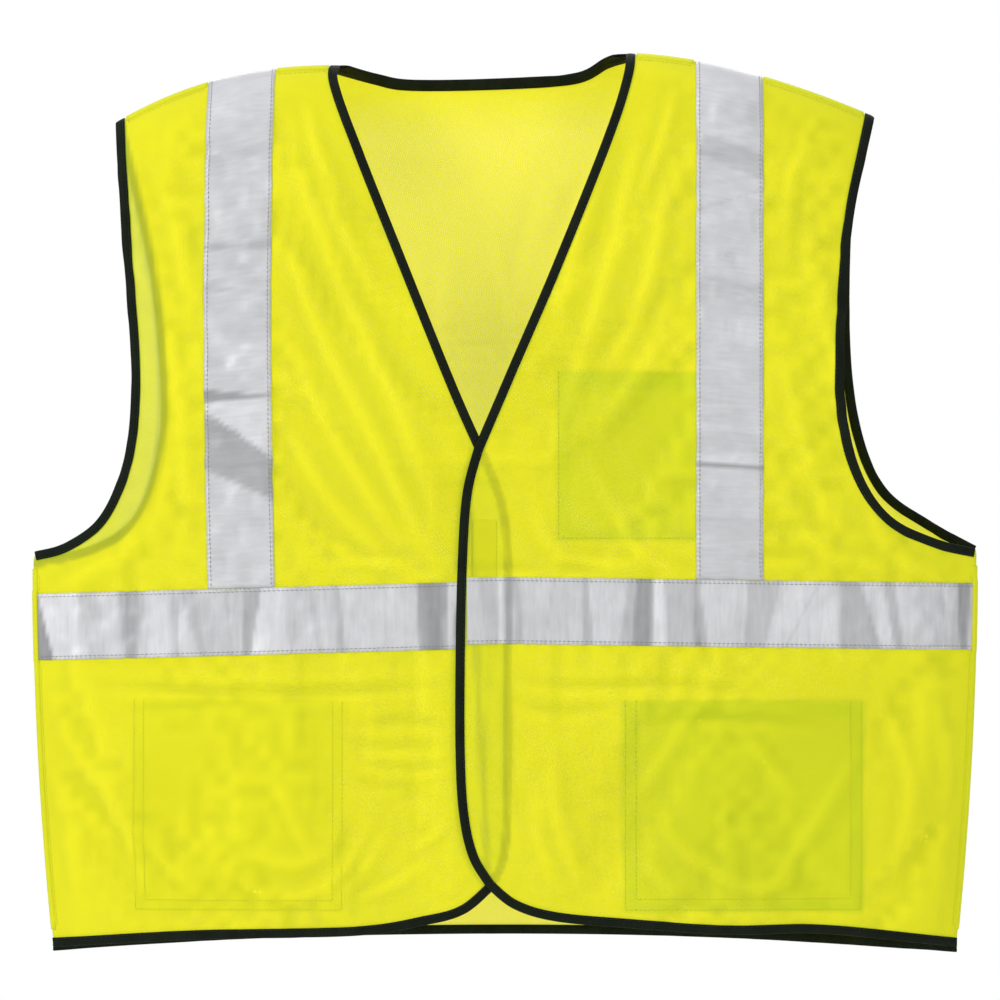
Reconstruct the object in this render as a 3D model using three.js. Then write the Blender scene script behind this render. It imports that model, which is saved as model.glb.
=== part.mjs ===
// A high visibility vest: mesh fabric panels, bound edges, retroreflective tape, three inside pockets
// and a hook and loop closure. Millimetres, +Z up. The front faces -Y and the wearer's left is +X.
// z = 0 is about level with the side points of the neck, and y = 0 is the plane of the side seams.
// The wearer's left front laps over the right one. Each front opens about an upright fold line, so it
// is two solids there: a side part that stays with the back, and a flap that swings.
import * as THREE from 'three';

// ---- Size of the body. The outlines below are drawn for the base size and graded to these ----
const CHEST_WIDTH = 709;        // side seam to side seam at the underarm
const BODY_LENGTH = 664;        // neck point to hem
const BASE_CHEST = 709;
const BASE_LENGTH = 664;
const HEM_NARROWING = 15;       // how much nearer the centre each side seam is at the hem
const BODY_DEPTH = 90;          // front to back at the middle, worn loosely
const SHOULDER_ROUND = 60;      // height over which the shoulders turn from front to back

// ---- Cloth, tape and trim ----
const FABRIC = 0.6;             // thickness of the mesh
const TAPE = 0.5;               // thickness of the tape
const TAPE_WIDTH = 50;          // two inch tape
const BINDING = 0.6;            // thickness of one leg of the folded binding
const BINDING_WIDTH = 7;        // how much of the binding shows on each face
const STRIP = 1.0;              // thickness of each half of the closure
const STRIP_WIDTH = 20;         // three quarter inch hook and loop
const STRIP_LENGTH = 95;
const FIT = 0.35;               // clearance between pieces that lie on each other
const BINDING_FIT = 0.9;        // clearance between the cloth and each leg of its binding
const POCKET_FIT = 0.7;         // clearance between a front and a pocket's sewn edges
const SEAM_HALF_GAP = 0.7;      // half the distance between front and back along the seams
const END_GAP = 4;              // how far a binding stops short of a seam or of another binding
const NECK_END_GAP = 17;        // the back neck's binding stops further off, where the edge turns sharply

// ---- Places ----
const LEFT_FOLD = 79;           // upright fold lines that the two fronts swing on
const RIGHT_FOLD = -112;
const FOLD_GAP = 0.4;
const LEFT_TAPE_X = 168;        // centre of each shoulder tape
const RIGHT_TAPE_X = -197;
const STRIP_CENTRE_X = -15.5;
const STRIP_TOP_Z = -346;
const WAIST_LEFT = { centre: -414, seam: -419 };    // height of the waist tape's middle line
const WAIST_RIGHT = { centre: -417, seam: -427 };
const LAP_FULL_X = 8;           // the left front stands clear of the right one up to here,
const LAP_NONE_X = 88;          // and lies level with it from here on
const POCKET_SLACK = 12;        // how far a pocket's mouth hangs open
const LOWER_POCKET_TOP = -481;
const LOWER_POCKET_BOTTOM = -640;
const CHEST_POCKET = { inner: 38, outer: 187, top: -235, bottom: -362 };
const LEFT_POCKET = { inner: 88, outer: 268, top: LOWER_POCKET_TOP, bottom: LOWER_POCKET_BOTTOM };
const RIGHT_POCKET = { inner: -120, outer: -279, top: LOWER_POCKET_TOP, bottom: LOWER_POCKET_BOTTOM };

// How far the left front stands out over the right one: enough for the fabric and both halves
// of the closure, and for one binding to cross the other.
const BINDING_OUTER = FABRIC / 2 + BINDING_FIT + BINDING;
const LAP = Math.max(FABRIC + 2 * STRIP + 3 * FIT, 2 * BINDING_OUTER + FIT);

const FRONT = -1;
const BACK = 1;

// ---- Outlines, as curves through (x, z) points of the base size ----
const gradeX = CHEST_WIDTH / BASE_CHEST;
const gradeZ = BODY_LENGTH / BASE_LENGTH;
const graded = ([x, z]) => new THREE.Vector2(x * gradeX, z * gradeZ);
const curve = (...points) => new THREE.SplineCurve(points.map(graded));

// The ridge of each shoulder falls from the neck point to the tip in one bowed line.
const NECK_LEFT = graded([94.5, 3]);
const NECK_RIGHT = graded([-127.5, -6]);
const TIP_LEFT = graded([274, -43]);
const TIP_RIGHT = graded([-289, -47]);
const LEFT_BOW = 1.66;
const RIGHT_BOW = 2.25;

function ridge(x) {
  if (x > NECK_LEFT.x) {
    const share = (x - NECK_LEFT.x) / (TIP_LEFT.x - NECK_LEFT.x);
    return NECK_LEFT.y - (NECK_LEFT.y - TIP_LEFT.y) * share ** LEFT_BOW;
  }
  if (x < NECK_RIGHT.x) {
    const share = (NECK_RIGHT.x - x) / (NECK_RIGHT.x - TIP_RIGHT.x);
    return NECK_RIGHT.y - (NECK_RIGHT.y - TIP_RIGHT.y) * share ** RIGHT_BOW;
  }
  const share = (x - NECK_RIGHT.x) / (NECK_LEFT.x - NECK_RIGHT.x);
  return NECK_RIGHT.y + (NECK_LEFT.y - NECK_RIGHT.y) * share;
}

const outlines = {
  leftNeckline: curve([94.5, 3], [91.5, -16], [76, -64], [37.5, -160], [4, -238], [-20, -294]),
  leftEdge: curve([-20, -294], [-28.5, -328], [-32, -380], [-33.5, -450], [-33.5, -520], [-31, -565], [-24, -597],
    [-11, -619]),
  leftHem: curve([-11, -619], [8, -634], [38, -643], [92, -648], [164, -653], [240, -653], [339.5, -664]),
  rightNeckline: curve([-127.5, -6], [-128, -20], [-109, -73], [-80, -146], [-39, -248], [-13.5, -305]),
  rightEdge: curve([-13.5, -305], [-3, -333], [2, -372], [2, -450], [2, -530], [1, -580], [-3, -605],
    [-12.5, -622]),
  rightHem: curve([-12.5, -622], [-32, -638], [-60, -646], [-114, -654], [-235, -657], [-339.5, -664]),
  backHem: curve([-339.5, -667], [-175, -659], [0, -656], [164, -659], [339.5, -668]),
  backNeck: curve([-127.5, -6], [-97, -14], [-70, -18], [-4, -17], [53, -13], [77, -2], [94.5, 3]),
  leftArmhole: curve([352.5, -371], [322, -364], [286, -346], [262, -311], [250, -258], [251, -190], [258, -114],
    [274, -43]),
  leftArmholeBack: curve([352.5, -369], [318, -350], [284, -324], [265, -278], [257, -212], [259, -114], [274, -43]),
  rightArmhole: curve([-352.5, -373.5], [-326, -366], [-300, -345], [-282, -303], [-276, -245], [-280, -172],
    [-289, -47]),
  rightArmholeBack: curve([-352.5, -379], [-307, -368], [-276, -345], [-259, -296], [-256, -240], [-265, -155],
    [-289, -47]),
};

// ---- The surface that every piece lies on ----
const UNDERARM_Z = -371 * gradeZ;
const HEM_Z = -BODY_LENGTH;
const SEAM_INSET = 0.2;         // how far inside the seam line a panel's edge stays

function halfWidth(z) {
  const share = THREE.MathUtils.clamp((UNDERARM_Z - z) / (UNDERARM_Z - HEM_Z), 0, 1);
  return CHEST_WIDTH / 2 - HEM_NARROWING * share ** 2;
}

// Half the depth at (x, z): flat over the middle, falling to the side seams as a fourth power,
// and turning over at the shoulders as a quarter of an ellipse.
function halfDepth(x, z) {
  const across = Math.min(Math.abs(x) / halfWidth(z), 1);
  const below = THREE.MathUtils.clamp((ridge(x) - z) / SHOULDER_ROUND, 0, 1);
  return SEAM_HALF_GAP + (BODY_DEPTH / 2) * (1 - across ** 4) * Math.sqrt(1 - (1 - below) ** 2);
}

// A point of the cloth's middle layer at (x, z), moved out along the normal.
function onBody(x, z, side, out, lapped = false) {
  const step = 0.05;
  const height = Math.min(z, ridge(x) - step / 2);
  const depth = halfDepth(x, height);
  const slopeX = (halfDepth(x + step, height) - halfDepth(x - step, height)) / (2 * step);
  const slopeZ = (depth - halfDepth(x, height - step)) / step;
  const normal = new THREE.Vector3(-slopeX, side, -slopeZ).normalize();
  const clear = 1 - THREE.MathUtils.smoothstep(x, LAP_FULL_X * gradeX, LAP_NONE_X * gradeX);
  const lap = lapped ? LAP * clear : 0;
  return new THREE.Vector3(x, side * depth, height).addScaledVector(normal, out + lap);
}

// ---- Solids ----
function meshFrom(name, positions, triangles, material) {
  const geometry = new THREE.BufferGeometry();
  geometry.setAttribute('position', new THREE.Float32BufferAttribute(positions.flatMap((p) => p.toArray()), 3));
  geometry.setIndex(triangles);
  geometry.computeVertexNormals();
  const mesh = new THREE.Mesh(geometry, material);
  mesh.name = name;
  return mesh;
}

// A closed body of rings: each ring is the same number of points, joined to the next, capped at both ends.
// Each four-sided face, a cap's as well, is split along its shorter diagonal.
function loft(name, rings, material, caps) {
  const size = rings[0].length;
  const positions = rings.flat();
  const triangles = [];
  const quad = (a, b, c, d) => {
    if (positions[a].distanceTo(positions[c]) <= positions[b].distanceTo(positions[d])) {
      triangles.push(a, b, c, a, c, d);
    } else {
      triangles.push(a, b, d, b, c, d);
    }
  };
  for (let k = 0; k + 1 < rings.length; k += 1) {
    for (let i = 0; i < size; i += 1) {
      const next = (i + 1) % size;
      quad(k * size + i, k * size + next, (k + 1) * size + next, (k + 1) * size + i);
    }
  }
  const last = (rings.length - 1) * size;
  for (const [a, b, c, d] of caps) {
    quad(a, d, c, b);
    quad(last + a, last + b, last + c, last + d);
  }
  if (signedVolume(positions, triangles) < 0) {
    triangles.reverse();
  }
  return meshFrom(name, positions, triangles, material);
}

function signedVolume(positions, triangles) {
  let volume = 0;
  for (let t = 0; t < triangles.length; t += 3) {
    const [a, b, c] = [positions[triangles[t]], positions[triangles[t + 1]], positions[triangles[t + 2]]];
    volume += a.dot(new THREE.Vector3().crossVectors(b, c)) / 6;
  }
  return volume;
}

// A sheet: rows of (x, z) places, given thickness between two distances from the cloth's middle.
function sheet(name, rows, place, inner, outer, material) {
  const width = rows[0].length;
  const rings = rows.map((row, j) => [
    ...row.map((p, i) => place(p, inner, i, j)),
    ...row.map((p, i) => place(p, outer, i, j)).reverse(),
  ]);
  const caps = [];
  for (let i = 0; i + 1 < width; i += 1) {
    caps.push([i, i + 1, 2 * width - 2 - i, 2 * width - 1 - i]);
  }
  return loft(name, rings, material, caps);
}

// Rows between four sides. Each row runs straight between its ends, and takes on the bow of the
// bottom below row `lowest`, of the top above row `highest`, and a blend of both between.
function patch(left, right, bottom, top, lowest, highest) {
  const columns = bottom.length - 1;
  const mix = (a, b, share) => a.clone().lerp(b, share);
  const bow = (side, i) => side[i].clone().sub(mix(side[0], side[columns], i / columns));
  return left.map((_, j) => bottom.map((__, i) => {
    const rise = THREE.MathUtils.smoothstep(j, lowest, highest);
    return mix(left[j], right[j], i / columns).add(mix(bow(bottom, i), bow(top, i), rise));
  }));
}

// Points of a curve at given heights, found by halving: the curve falls or rises steadily in z.
function atHeights(outline, heights, depthBelowRidge = false) {
  return heights.map((height) => {
    const level = (p) => (depthBelowRidge ? p.y - ridge(p.x) : p.y) - height;
    let [low, high] = [0, 1];
    const rising = level(outline.getPoint(1)) > level(outline.getPoint(0));
    for (let n = 0; n < 40; n += 1) {
      const middle = (low + high) / 2;
      if ((level(outline.getPoint(middle)) < 0) === rising) {
        low = middle;
      } else {
        high = middle;
      }
    }
    return outline.getPoint((low + high) / 2);
  });
}

const line = (a, b, count) => Array.from({ length: count + 1 }, (_, i) => a.clone().lerp(b, i / count));
const point = (x, z) => new THREE.Vector2(x, z);

// Where an outline crosses an upright line, found by walking it finely.
function crossing(outline, x) {
  const fine = outline.getPoints(2000);
  return fine.reduce((best, p) => (Math.abs(p.x - x) < Math.abs(best.x - x) ? p : best));
}

// Part of an outline between two of its own points, with evenly spaced steps.
function between(outline, from, to, count) {
  const fine = outline.getPoints(2000);
  const nearest = (q) => fine.reduce((best, p, k) => (p.distanceTo(q) < fine[best].distanceTo(q) ? k : best), 0);
  const [a, b] = [nearest(from), nearest(to)];
  return Array.from({ length: count + 1 }, (_, i) => fine[Math.round(a + ((b - a) * i) / count)].clone());
}

// Distances below the ridge at equal turns of the shoulder's quarter ellipse.
const TURN_STEP = 10;           // depth that each of them may span
const TURNS = Math.ceil(BODY_DEPTH / TURN_STEP);
const shoulderSteps = Array.from({ length: TURNS + 1 }, (_, k) => (
  SHOULDER_ROUND * (1 - Math.cos(((TURNS - k) / TURNS) * (Math.PI / 2)))
));

// ---- Materials ----
const material = (color, roughness, metalness = 0) => new THREE.MeshStandardMaterial({ color, roughness, metalness });
const limeMesh = () => material(0xd8f000, 0.85);
const silverTape = () => material(0xc4c6c9, 0.35, 0.3);
const blackBinding = () => material(0x10141a, 0.7);
const closure = () => material(0xcbe010, 0.95);

const vest = new THREE.Group();

// ---- Panels ----
const LEFT_FOLD_X = LEFT_FOLD * gradeX;
const RIGHT_FOLD_X = RIGHT_FOLD * gradeX;
const HALF_FOLD_GAP = FOLD_GAP / 2;
const FLAP_TOP_WIDTH = 5;       // the flap's blunt top, where its neckline meets the fold

const fabricPlace = (side, lapped) => (p, out) => onBody(p.x, p.y, side, out, lapped);
const fabricSheet = (name, rows, side, lapped = false) => {
  vest.add(sheet(name, rows, fabricPlace(side, lapped), -FABRIC / 2, FABRIC / 2, limeMesh()));
};

const BODY_ROWS = 8;            // rows of the mesh below the underarm, and above it to the shoulder
const ARM_ROWS = 2 * Math.ceil(7 * Math.max(gradeX, gradeZ));
const atSeam = (p) => point(Math.sign(p.x) * (halfWidth(p.y) - SEAM_INSET), p.y);

// The armhole side of a panel: up the side seam, round the armhole and up to the tip of the shoulder.
function outerSide(hemCorner, armhole) {
  const under = armhole.getPoint(0);
  const seam = line(hemCorner, under, BODY_ROWS).map(atSeam);
  const start = between(armhole, under, armholeKnee(armhole), ARM_ROWS / 2);
  const knee = start[start.length - 1];
  const rise = line(knee, point(0, ridge(TIP_LEFT.x) - SHOULDER_ROUND), ARM_ROWS / 2).map((p) => p.y);
  rise[rise.length - 1] = ridge(knee.x) - SHOULDER_ROUND;
  const upper = atHeights(armhole, rise.slice(1, -1));
  const turn = atHeights(armhole, shoulderSteps.map((d) => -d), true);
  turn[turn.length - 1] = armhole.getPoint(1);
  return [...seam, ...start.slice(1), ...upper, ...turn];
}

// The place on an armhole where it stops running inwards and turns up.
const KNEE_SHARE = 0.42;
function armholeKnee(armhole) {
  return armhole.getPointAt(KNEE_SHARE);
}

// A straight upright side with as many rows as the outer side, ending on the neckline and then following it.
function foldSide(outer, x, bottomZ, neckPoint, neckline, neckEnd) {
  const neckRows = shoulderSteps.filter((d) => d < ridge(neckPoint.x) - neckPoint.y).length;
  const upRows = outer.length - neckRows;
  const heights = outer.slice(0, upRows).map((p, j) => {
    const share = (p.y - outer[0].y) / (outer[upRows - 1].y - outer[0].y);
    return bottomZ + (neckPoint.y - bottomZ) * share * (j === 0 ? 0 : 1);
  });
  const upright = heights.map((z) => point(x, z));
  const steps = shoulderSteps.slice(shoulderSteps.length - neckRows).map((d) => -d);
  const onNeck = atHeights(neckline, steps, true);
  onNeck[onNeck.length - 1] = neckEnd.clone();
  return { rows: [...upright, ...onNeck], neckStart: upRows - 1 };
}

const HEM_COLUMNS = Math.ceil(12 * gradeX);

// Even steps that close up towards the side seams, where the body curves most.
const CLOSING = 0.4;
const eased = (share) => (1 - CLOSING) * share + CLOSING * Math.sin((Math.PI / 2) * share);
const easedLine = (a, b, count) => line(a, b, count).map((_, i) => a.clone().lerp(b, eased(i / count)));
const easedBetween = (outline, from, to, count) => {
  const fine = between(outline, from, to, 50 * count);
  return line(from, to, count).map((_, i) => fine[Math.round(50 * count * eased(i / count))].clone());
};
const ridgeLine = (fromX, toX, count) => (
  easedLine(point(fromX, 0), point(toX, 0), count).map((p) => point(p.x, ridge(p.x)))
);

function sidePanel(name, foldX, hem, armhole, neckline, lapped) {
  const outward = Math.sign(foldX);
  const hemEnd = atSeam(hem.getPoint(1));
  const outer = outerSide(hemEnd, armhole);
  const foldFoot = crossing(hem, foldX);
  const edgeX = foldX + outward * HALF_FOLD_GAP;
  const neckPoint = crossing(neckline, edgeX);
  const { rows: inner, neckStart } = foldSide(outer, edgeX, foldFoot.y, neckPoint, neckline, neckline.getPoint(0));
  const bottom = easedBetween(hem, foldFoot, hem.getPoint(1), HEM_COLUMNS);
  bottom[0] = inner[0].clone();
  bottom[HEM_COLUMNS] = outer[0].clone();
  const top = ridgeLine(neckline.getPoint(0).x, armhole.getPoint(1).x, HEM_COLUMNS);
  fabricSheet(name, patch(inner, outer, bottom, top, BODY_ROWS, outer.length - 1 - TURNS), FRONT, lapped);
  return { neck: inner.slice(neckStart), armhole: outer.slice(BODY_ROWS), hem: bottom };
}

const FLAP_COLUMNS = 5;
const FLAP_ROWS = 26;

function flapPanel(name, foldX, edge, hem, neckline, lapped) {
  const outward = Math.sign(foldX);
  const foldFoot = crossing(hem, foldX);
  const edgeX = foldX - outward * HALF_FOLD_GAP;
  const neckTop = crossing(neckline, edgeX - outward * FLAP_TOP_WIDTH);
  const edgeRows = Math.round(FLAP_ROWS / 2);
  const lower = edge.getSpacedPoints(edgeRows).reverse();
  const upper = between(neckline, neckline.getPoint(1), neckTop, FLAP_ROWS - edgeRows);
  const open = [...lower, ...upper.slice(1)];
  const foldLine = open.map((p) => {
    const share = (p.y - open[0].y) / (neckTop.y - open[0].y);
    return point(edgeX, foldFoot.y + (neckTop.y - foldFoot.y) * share);
  });
  const bottom = between(hem, hem.getPoint(0), foldFoot, FLAP_COLUMNS);
  bottom[0] = open[0].clone();
  bottom[FLAP_COLUMNS] = foldLine[0].clone();
  const top = line(open[FLAP_ROWS], foldLine[FLAP_ROWS], FLAP_COLUMNS);
  fabricSheet(name, patch(open, foldLine, bottom, top, 0, FLAP_ROWS), FRONT, lapped);
  return { edge: [...bottom.reverse(), ...open.slice(1)] };
}

const leftSide = sidePanel('left_front_side', LEFT_FOLD_X, outlines.leftHem, outlines.leftArmhole,
  outlines.leftNeckline, true);
const rightSide = sidePanel('right_front_side', RIGHT_FOLD_X, outlines.rightHem, outlines.rightArmhole,
  outlines.rightNeckline, false);
const leftFlap = flapPanel('left_front_flap', LEFT_FOLD_X, outlines.leftEdge, outlines.leftHem,
  outlines.leftNeckline, true);
const rightFlap = flapPanel('right_front_flap', RIGHT_FOLD_X, outlines.rightEdge, outlines.rightHem,
  outlines.rightNeckline, false);

const BACK_COLUMNS = 26;
const SHOULDER_COLUMNS = 6;

function backPanel() {
  const hem = outlines.backHem;
  const left = outerSide(atSeam(hem.getPoint(1)), outlines.leftArmholeBack);
  const right = outerSide(atSeam(hem.getPoint(0)), outlines.rightArmholeBack);
  const middle = hem.getPoint(0.5);
  const bottom = [
    ...easedBetween(hem, middle, hem.getPoint(0), BACK_COLUMNS / 2).reverse(),
    ...easedBetween(hem, middle, hem.getPoint(1), BACK_COLUMNS / 2).slice(1),
  ];
  bottom[0] = right[0].clone();
  bottom[BACK_COLUMNS] = left[0].clone();
  const neckColumns = BACK_COLUMNS - 2 * SHOULDER_COLUMNS;
  const top = [
    ...ridgeLine(NECK_RIGHT.x, TIP_RIGHT.x, SHOULDER_COLUMNS).reverse(),
    ...outlines.backNeck.getSpacedPoints(neckColumns).slice(1, -1),
    ...ridgeLine(NECK_LEFT.x, TIP_LEFT.x, SHOULDER_COLUMNS),
  ];
  fabricSheet('back_panel', patch(right, left, bottom, top, BODY_ROWS, left.length - 1 - TURNS), BACK);
  return {
    hem: bottom,
    neck: top.slice(SHOULDER_COLUMNS, BACK_COLUMNS - SHOULDER_COLUMNS + 1),
    leftArmhole: left.slice(BODY_ROWS),
    rightArmhole: right.slice(BODY_ROWS),
  };
}

const back = backPanel();

// ---- Bindings: a U section that folds over a fabric edge, carried along that edge ----
const LIP = BINDING_WIDTH / 2;
const SLOT = FABRIC / 2 + BINDING_FIT;
const bindingSection = [
  [-LIP, -BINDING_OUTER],
  [LIP, -BINDING_OUTER],
  [LIP, -SLOT],
  [-FIT, -SLOT],
  [-FIT, SLOT],
  [LIP, SLOT],
  [LIP, BINDING_OUTER],
  [-LIP, BINDING_OUTER],
];
const bindingCaps = [[0, 1, 2, 3], [0, 3, 4, 7], [4, 5, 6, 7]];

// Shortens a run of points by a distance at its start.
function trimStart(points, gap) {
  const rest = points.map((p) => p.clone());
  let left = gap;
  while (rest.length > 2 && rest[0].distanceTo(rest[1]) <= left) {
    left -= rest[0].distanceTo(rest[1]);
    rest.shift();
  }
  rest[0].lerp(rest[1], left / rest[0].distanceTo(rest[1]));
  return rest;
}
const trimEnd = (points, gap) => trimStart([...points].reverse(), gap).reverse();
const trimBoth = (points, gap) => trimEnd(trimStart(points, gap), gap);

// Each point with the direction into the cloth: a quarter turn from the run, to its left or right.
function edgeFrames(points, quarterTurn, side) {
  return points.map((p, k) => {
    const before = points[Math.max(k - 1, 0)];
    const after = points[Math.min(k + 1, points.length - 1)];
    const run = after.clone().sub(before).normalize();
    return { p, side, inward: new THREE.Vector2(-run.y, run.x).multiplyScalar(quarterTurn) };
  });
}

const INTO_LEFT = 1;
const INTO_RIGHT = -1;

// Near the shoulder's ridge the legs lie along the ridge, so that they meet over it.
function bind(name, frames, lapped = false) {
  const rings = frames.map(({ p, side, inward }) => bindingSection.map(([a, out]) => {
    const q = p.clone().addScaledVector(inward, a);
    const nearRidge = 1 - THREE.MathUtils.clamp((ridge(p.x) - p.y) / SHOULDER_ROUND, 0, 1);
    q.y += (ridge(q.x) - ridge(p.x)) * nearRidge;
    return onBody(q.x, q.y, side, out, lapped);
  }));
  vest.add(loft(name, rings, blackBinding(), bindingCaps));
}

bind('left_front_binding', edgeFrames(leftFlap.edge, INTO_RIGHT, FRONT), true);
bind('right_front_binding', edgeFrames(rightFlap.edge, INTO_LEFT, FRONT));
bind('left_neck_binding', edgeFrames(trimEnd(leftSide.neck, END_GAP), INTO_RIGHT, FRONT), true);
bind('right_neck_binding', edgeFrames(trimEnd(rightSide.neck, END_GAP), INTO_LEFT, FRONT));
bind('left_hem_binding', edgeFrames(trimEnd(leftSide.hem, END_GAP), INTO_LEFT, FRONT), true);
bind('right_hem_binding', edgeFrames(trimEnd(rightSide.hem, END_GAP), INTO_RIGHT, FRONT));
bind('back_hem_binding', edgeFrames(trimBoth(back.hem, END_GAP), INTO_LEFT, BACK));
bind('back_neck_binding', edgeFrames(trimBoth(back.neck, NECK_END_GAP * gradeX), INTO_RIGHT, BACK));
bind('left_armhole_binding', [
  ...edgeFrames(trimStart(leftSide.armhole, END_GAP), INTO_LEFT, FRONT),
  ...edgeFrames(trimEnd([...back.leftArmhole].reverse(), END_GAP), INTO_RIGHT, BACK),
]);
bind('right_armhole_binding', [
  ...edgeFrames(trimStart(rightSide.armhole, END_GAP), INTO_RIGHT, FRONT),
  ...edgeFrames(trimEnd([...back.rightArmhole].reverse(), END_GAP), INTO_LEFT, BACK),
]);

// ---- Tape ----
const TAPE_INNER = FABRIC / 2 + FIT;
const TAPE_OUTER = TAPE_INNER + TAPE;
const TAPE_ROWS = 2;
const TRIM_GAP = 1;             // a tape's end stops this far from a binding or strip

const stationsTo = (fromX, toX, count) => easedLine(point(fromX, 0), point(toX, 0), count).map((p) => p.x);

function waistTape(name, stations, middleAt, side, lapped = false) {
  const rows = Array.from({ length: TAPE_ROWS + 1 }, (_, j) => (
    stations.map((x) => point(x, middleAt(x) + TAPE_WIDTH * (j / TAPE_ROWS - 0.5)))
  ));
  vest.add(sheet(name, rows, fabricPlace(side, lapped), TAPE_INNER, TAPE_OUTER, silverTape()));
}

const waistLine = ({ centre, seam }) => (x) => (
  gradeZ * THREE.MathUtils.lerp(centre, seam, Math.abs(x) / (CHEST_WIDTH / 2))
);
const leftWaist = waistLine(WAIST_LEFT);
const rightWaist = waistLine(WAIST_RIGHT);
const backWaist = (x) => gradeZ * THREE.MathUtils.mapLinear(x, -CHEST_WIDTH / 2, CHEST_WIDTH / 2,
  WAIST_RIGHT.seam, WAIST_LEFT.seam);
const SEAM_X = CHEST_WIDTH / 2 - 1;
const edgeAt = (run, z) => run.reduce((best, p) => (Math.abs(p.y - z) < Math.abs(best.y - z) ? p : best)).x;
const stripCentre = STRIP_CENTRE_X * gradeX;

const backHalf = stationsTo(0, SEAM_X, BACK_COLUMNS / 2);
const leftTapeEnd = edgeAt(leftFlap.edge, leftWaist(0)) + LIP + TRIM_GAP;
const rightTapeEnd = stripCentre - STRIP_WIDTH / 2 - TRIM_GAP;

waistTape('left_waist_tape', stationsTo(LEFT_FOLD_X + HALF_FOLD_GAP, SEAM_X, HEM_COLUMNS), leftWaist, FRONT, true);
waistTape('right_waist_tape', stationsTo(RIGHT_FOLD_X - HALF_FOLD_GAP, -SEAM_X, HEM_COLUMNS), rightWaist, FRONT);
waistTape('back_waist_tape', [...backHalf.slice(1).map((x) => -x).reverse(), ...backHalf], backWaist, BACK);
waistTape('left_flap_tape', stationsTo(leftTapeEnd, LEFT_FOLD_X - HALF_FOLD_GAP, FLAP_COLUMNS), leftWaist, FRONT, true);
waistTape('right_flap_tape', stationsTo(rightTapeEnd, RIGHT_FOLD_X + HALF_FOLD_GAP, FLAP_COLUMNS), rightWaist, FRONT);

// A shoulder tape runs from the front waist tape over the shoulder to the back one, as one length.
const RISE_ROWS = 4;
const TAPE_STEP = 25;           // widest column of a shoulder tape

function shoulderTape(name, centreX, frontWaist) {
  const count = Math.ceil(TAPE_WIDTH / TAPE_STEP);
  const columns = line(point(-0.5, 0), point(0.5, 0), count).map(({ x: share }) => centreX + share * TAPE_WIDTH);
  const climb = (waist) => [
    ...Array.from({ length: RISE_ROWS }, (_, j) => columns.map((x) => {
      const foot = waist(x) + TAPE_WIDTH / 2 + FIT;
      return point(x, THREE.MathUtils.lerp(foot, ridge(x) - SHOULDER_ROUND, j / RISE_ROWS));
    })),
    ...shoulderSteps.map((d) => columns.map((x) => point(x, ridge(x) - d))),
  ];
  const front = climb(frontWaist);
  const rows = [...front, ...climb(backWaist).reverse()];
  const place = (p, out, i, j) => onBody(p.x, p.y, j < front.length ? FRONT : BACK, out);
  vest.add(sheet(name, rows, place, TAPE_INNER, TAPE_OUTER, silverTape()));
}

shoulderTape('left_shoulder_tape', LEFT_TAPE_X * gradeX, leftWaist);
shoulderTape('right_shoulder_tape', RIGHT_TAPE_X * gradeX, rightWaist);

// ---- Pockets: a patch sewn to the inside of a front at its sides and foot, its mouth a little open ----
const POCKET_COLUMNS = 8;
const POCKET_ROWS = 6;

// fromX and toX say which part of the whole pocket's width this solid is.
function pocket(name, { inner, outer, top, bottom }, fromX, toX, lapped) {
  const columns = line(point(fromX, 0), point(toX, 0), POCKET_COLUMNS).map((p) => p.x);
  const heights = line(point(0, bottom * gradeZ), point(0, top * gradeZ), POCKET_ROWS).map((p) => p.y);
  const rows = heights.map((z) => columns.map((x) => point(x, z)));
  const slack = (x, j) => {
    const across = (x - inner * gradeX) / ((outer - inner) * gradeX);
    const arch = Math.sqrt(Math.max(Math.sin(Math.PI * THREE.MathUtils.clamp(across, 0, 1)), 0));
    return POCKET_SLACK * arch * Math.sin((Math.PI / 2) * (j / POCKET_ROWS));
  };
  const place = (p, out, i, j) => onBody(p.x, p.y, FRONT, -FABRIC / 2 - POCKET_FIT - slack(p.x, j) - out, lapped);
  vest.add(sheet(name, rows, place, 0, FABRIC, limeMesh()));
}

pocket('chest_pocket', CHEST_POCKET, LEFT_FOLD_X + HALF_FOLD_GAP, CHEST_POCKET.outer * gradeX, true);
pocket('chest_pocket_flap', CHEST_POCKET, CHEST_POCKET.inner * gradeX, LEFT_FOLD_X - HALF_FOLD_GAP, true);
pocket('left_lower_pocket', LEFT_POCKET, LEFT_POCKET.inner * gradeX, LEFT_POCKET.outer * gradeX, true);
pocket('right_lower_pocket', RIGHT_POCKET, RIGHT_POCKET.inner * gradeX, RIGHT_POCKET.outer * gradeX, false);

// ---- Closure: hook inside the left flap's edge, loop outside the right flap's edge ----
function strip(name, facing, lapped) {
  const top = STRIP_TOP_Z * gradeZ;
  const xs = [-0.5, 0.5].map((share) => stripCentre + share * STRIP_WIDTH);
  const rows = line(point(0, top - STRIP_LENGTH), point(0, top), TAPE_ROWS).map((p) => xs.map((x) => point(x, p.y)));
  vest.add(sheet(name, rows, fabricPlace(FRONT, lapped), facing * TAPE_INNER, facing * (TAPE_INNER + STRIP), closure()));
}

strip('hook_strip', -1, true);
strip('loop_strip', 1, false);

export default vest;
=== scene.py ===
# %% [markdown]
# # A high visibility vest, layer by layer
# The real vest is cut from a thin polyester mesh: one back, two fronts that close down the middle, three
# patch pockets sewn inside, five lengths of silver tape, and a black folded binding round every raw edge.
# Every layer lies on the one before, so this script has a single surface, and each piece asks it for points.

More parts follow.
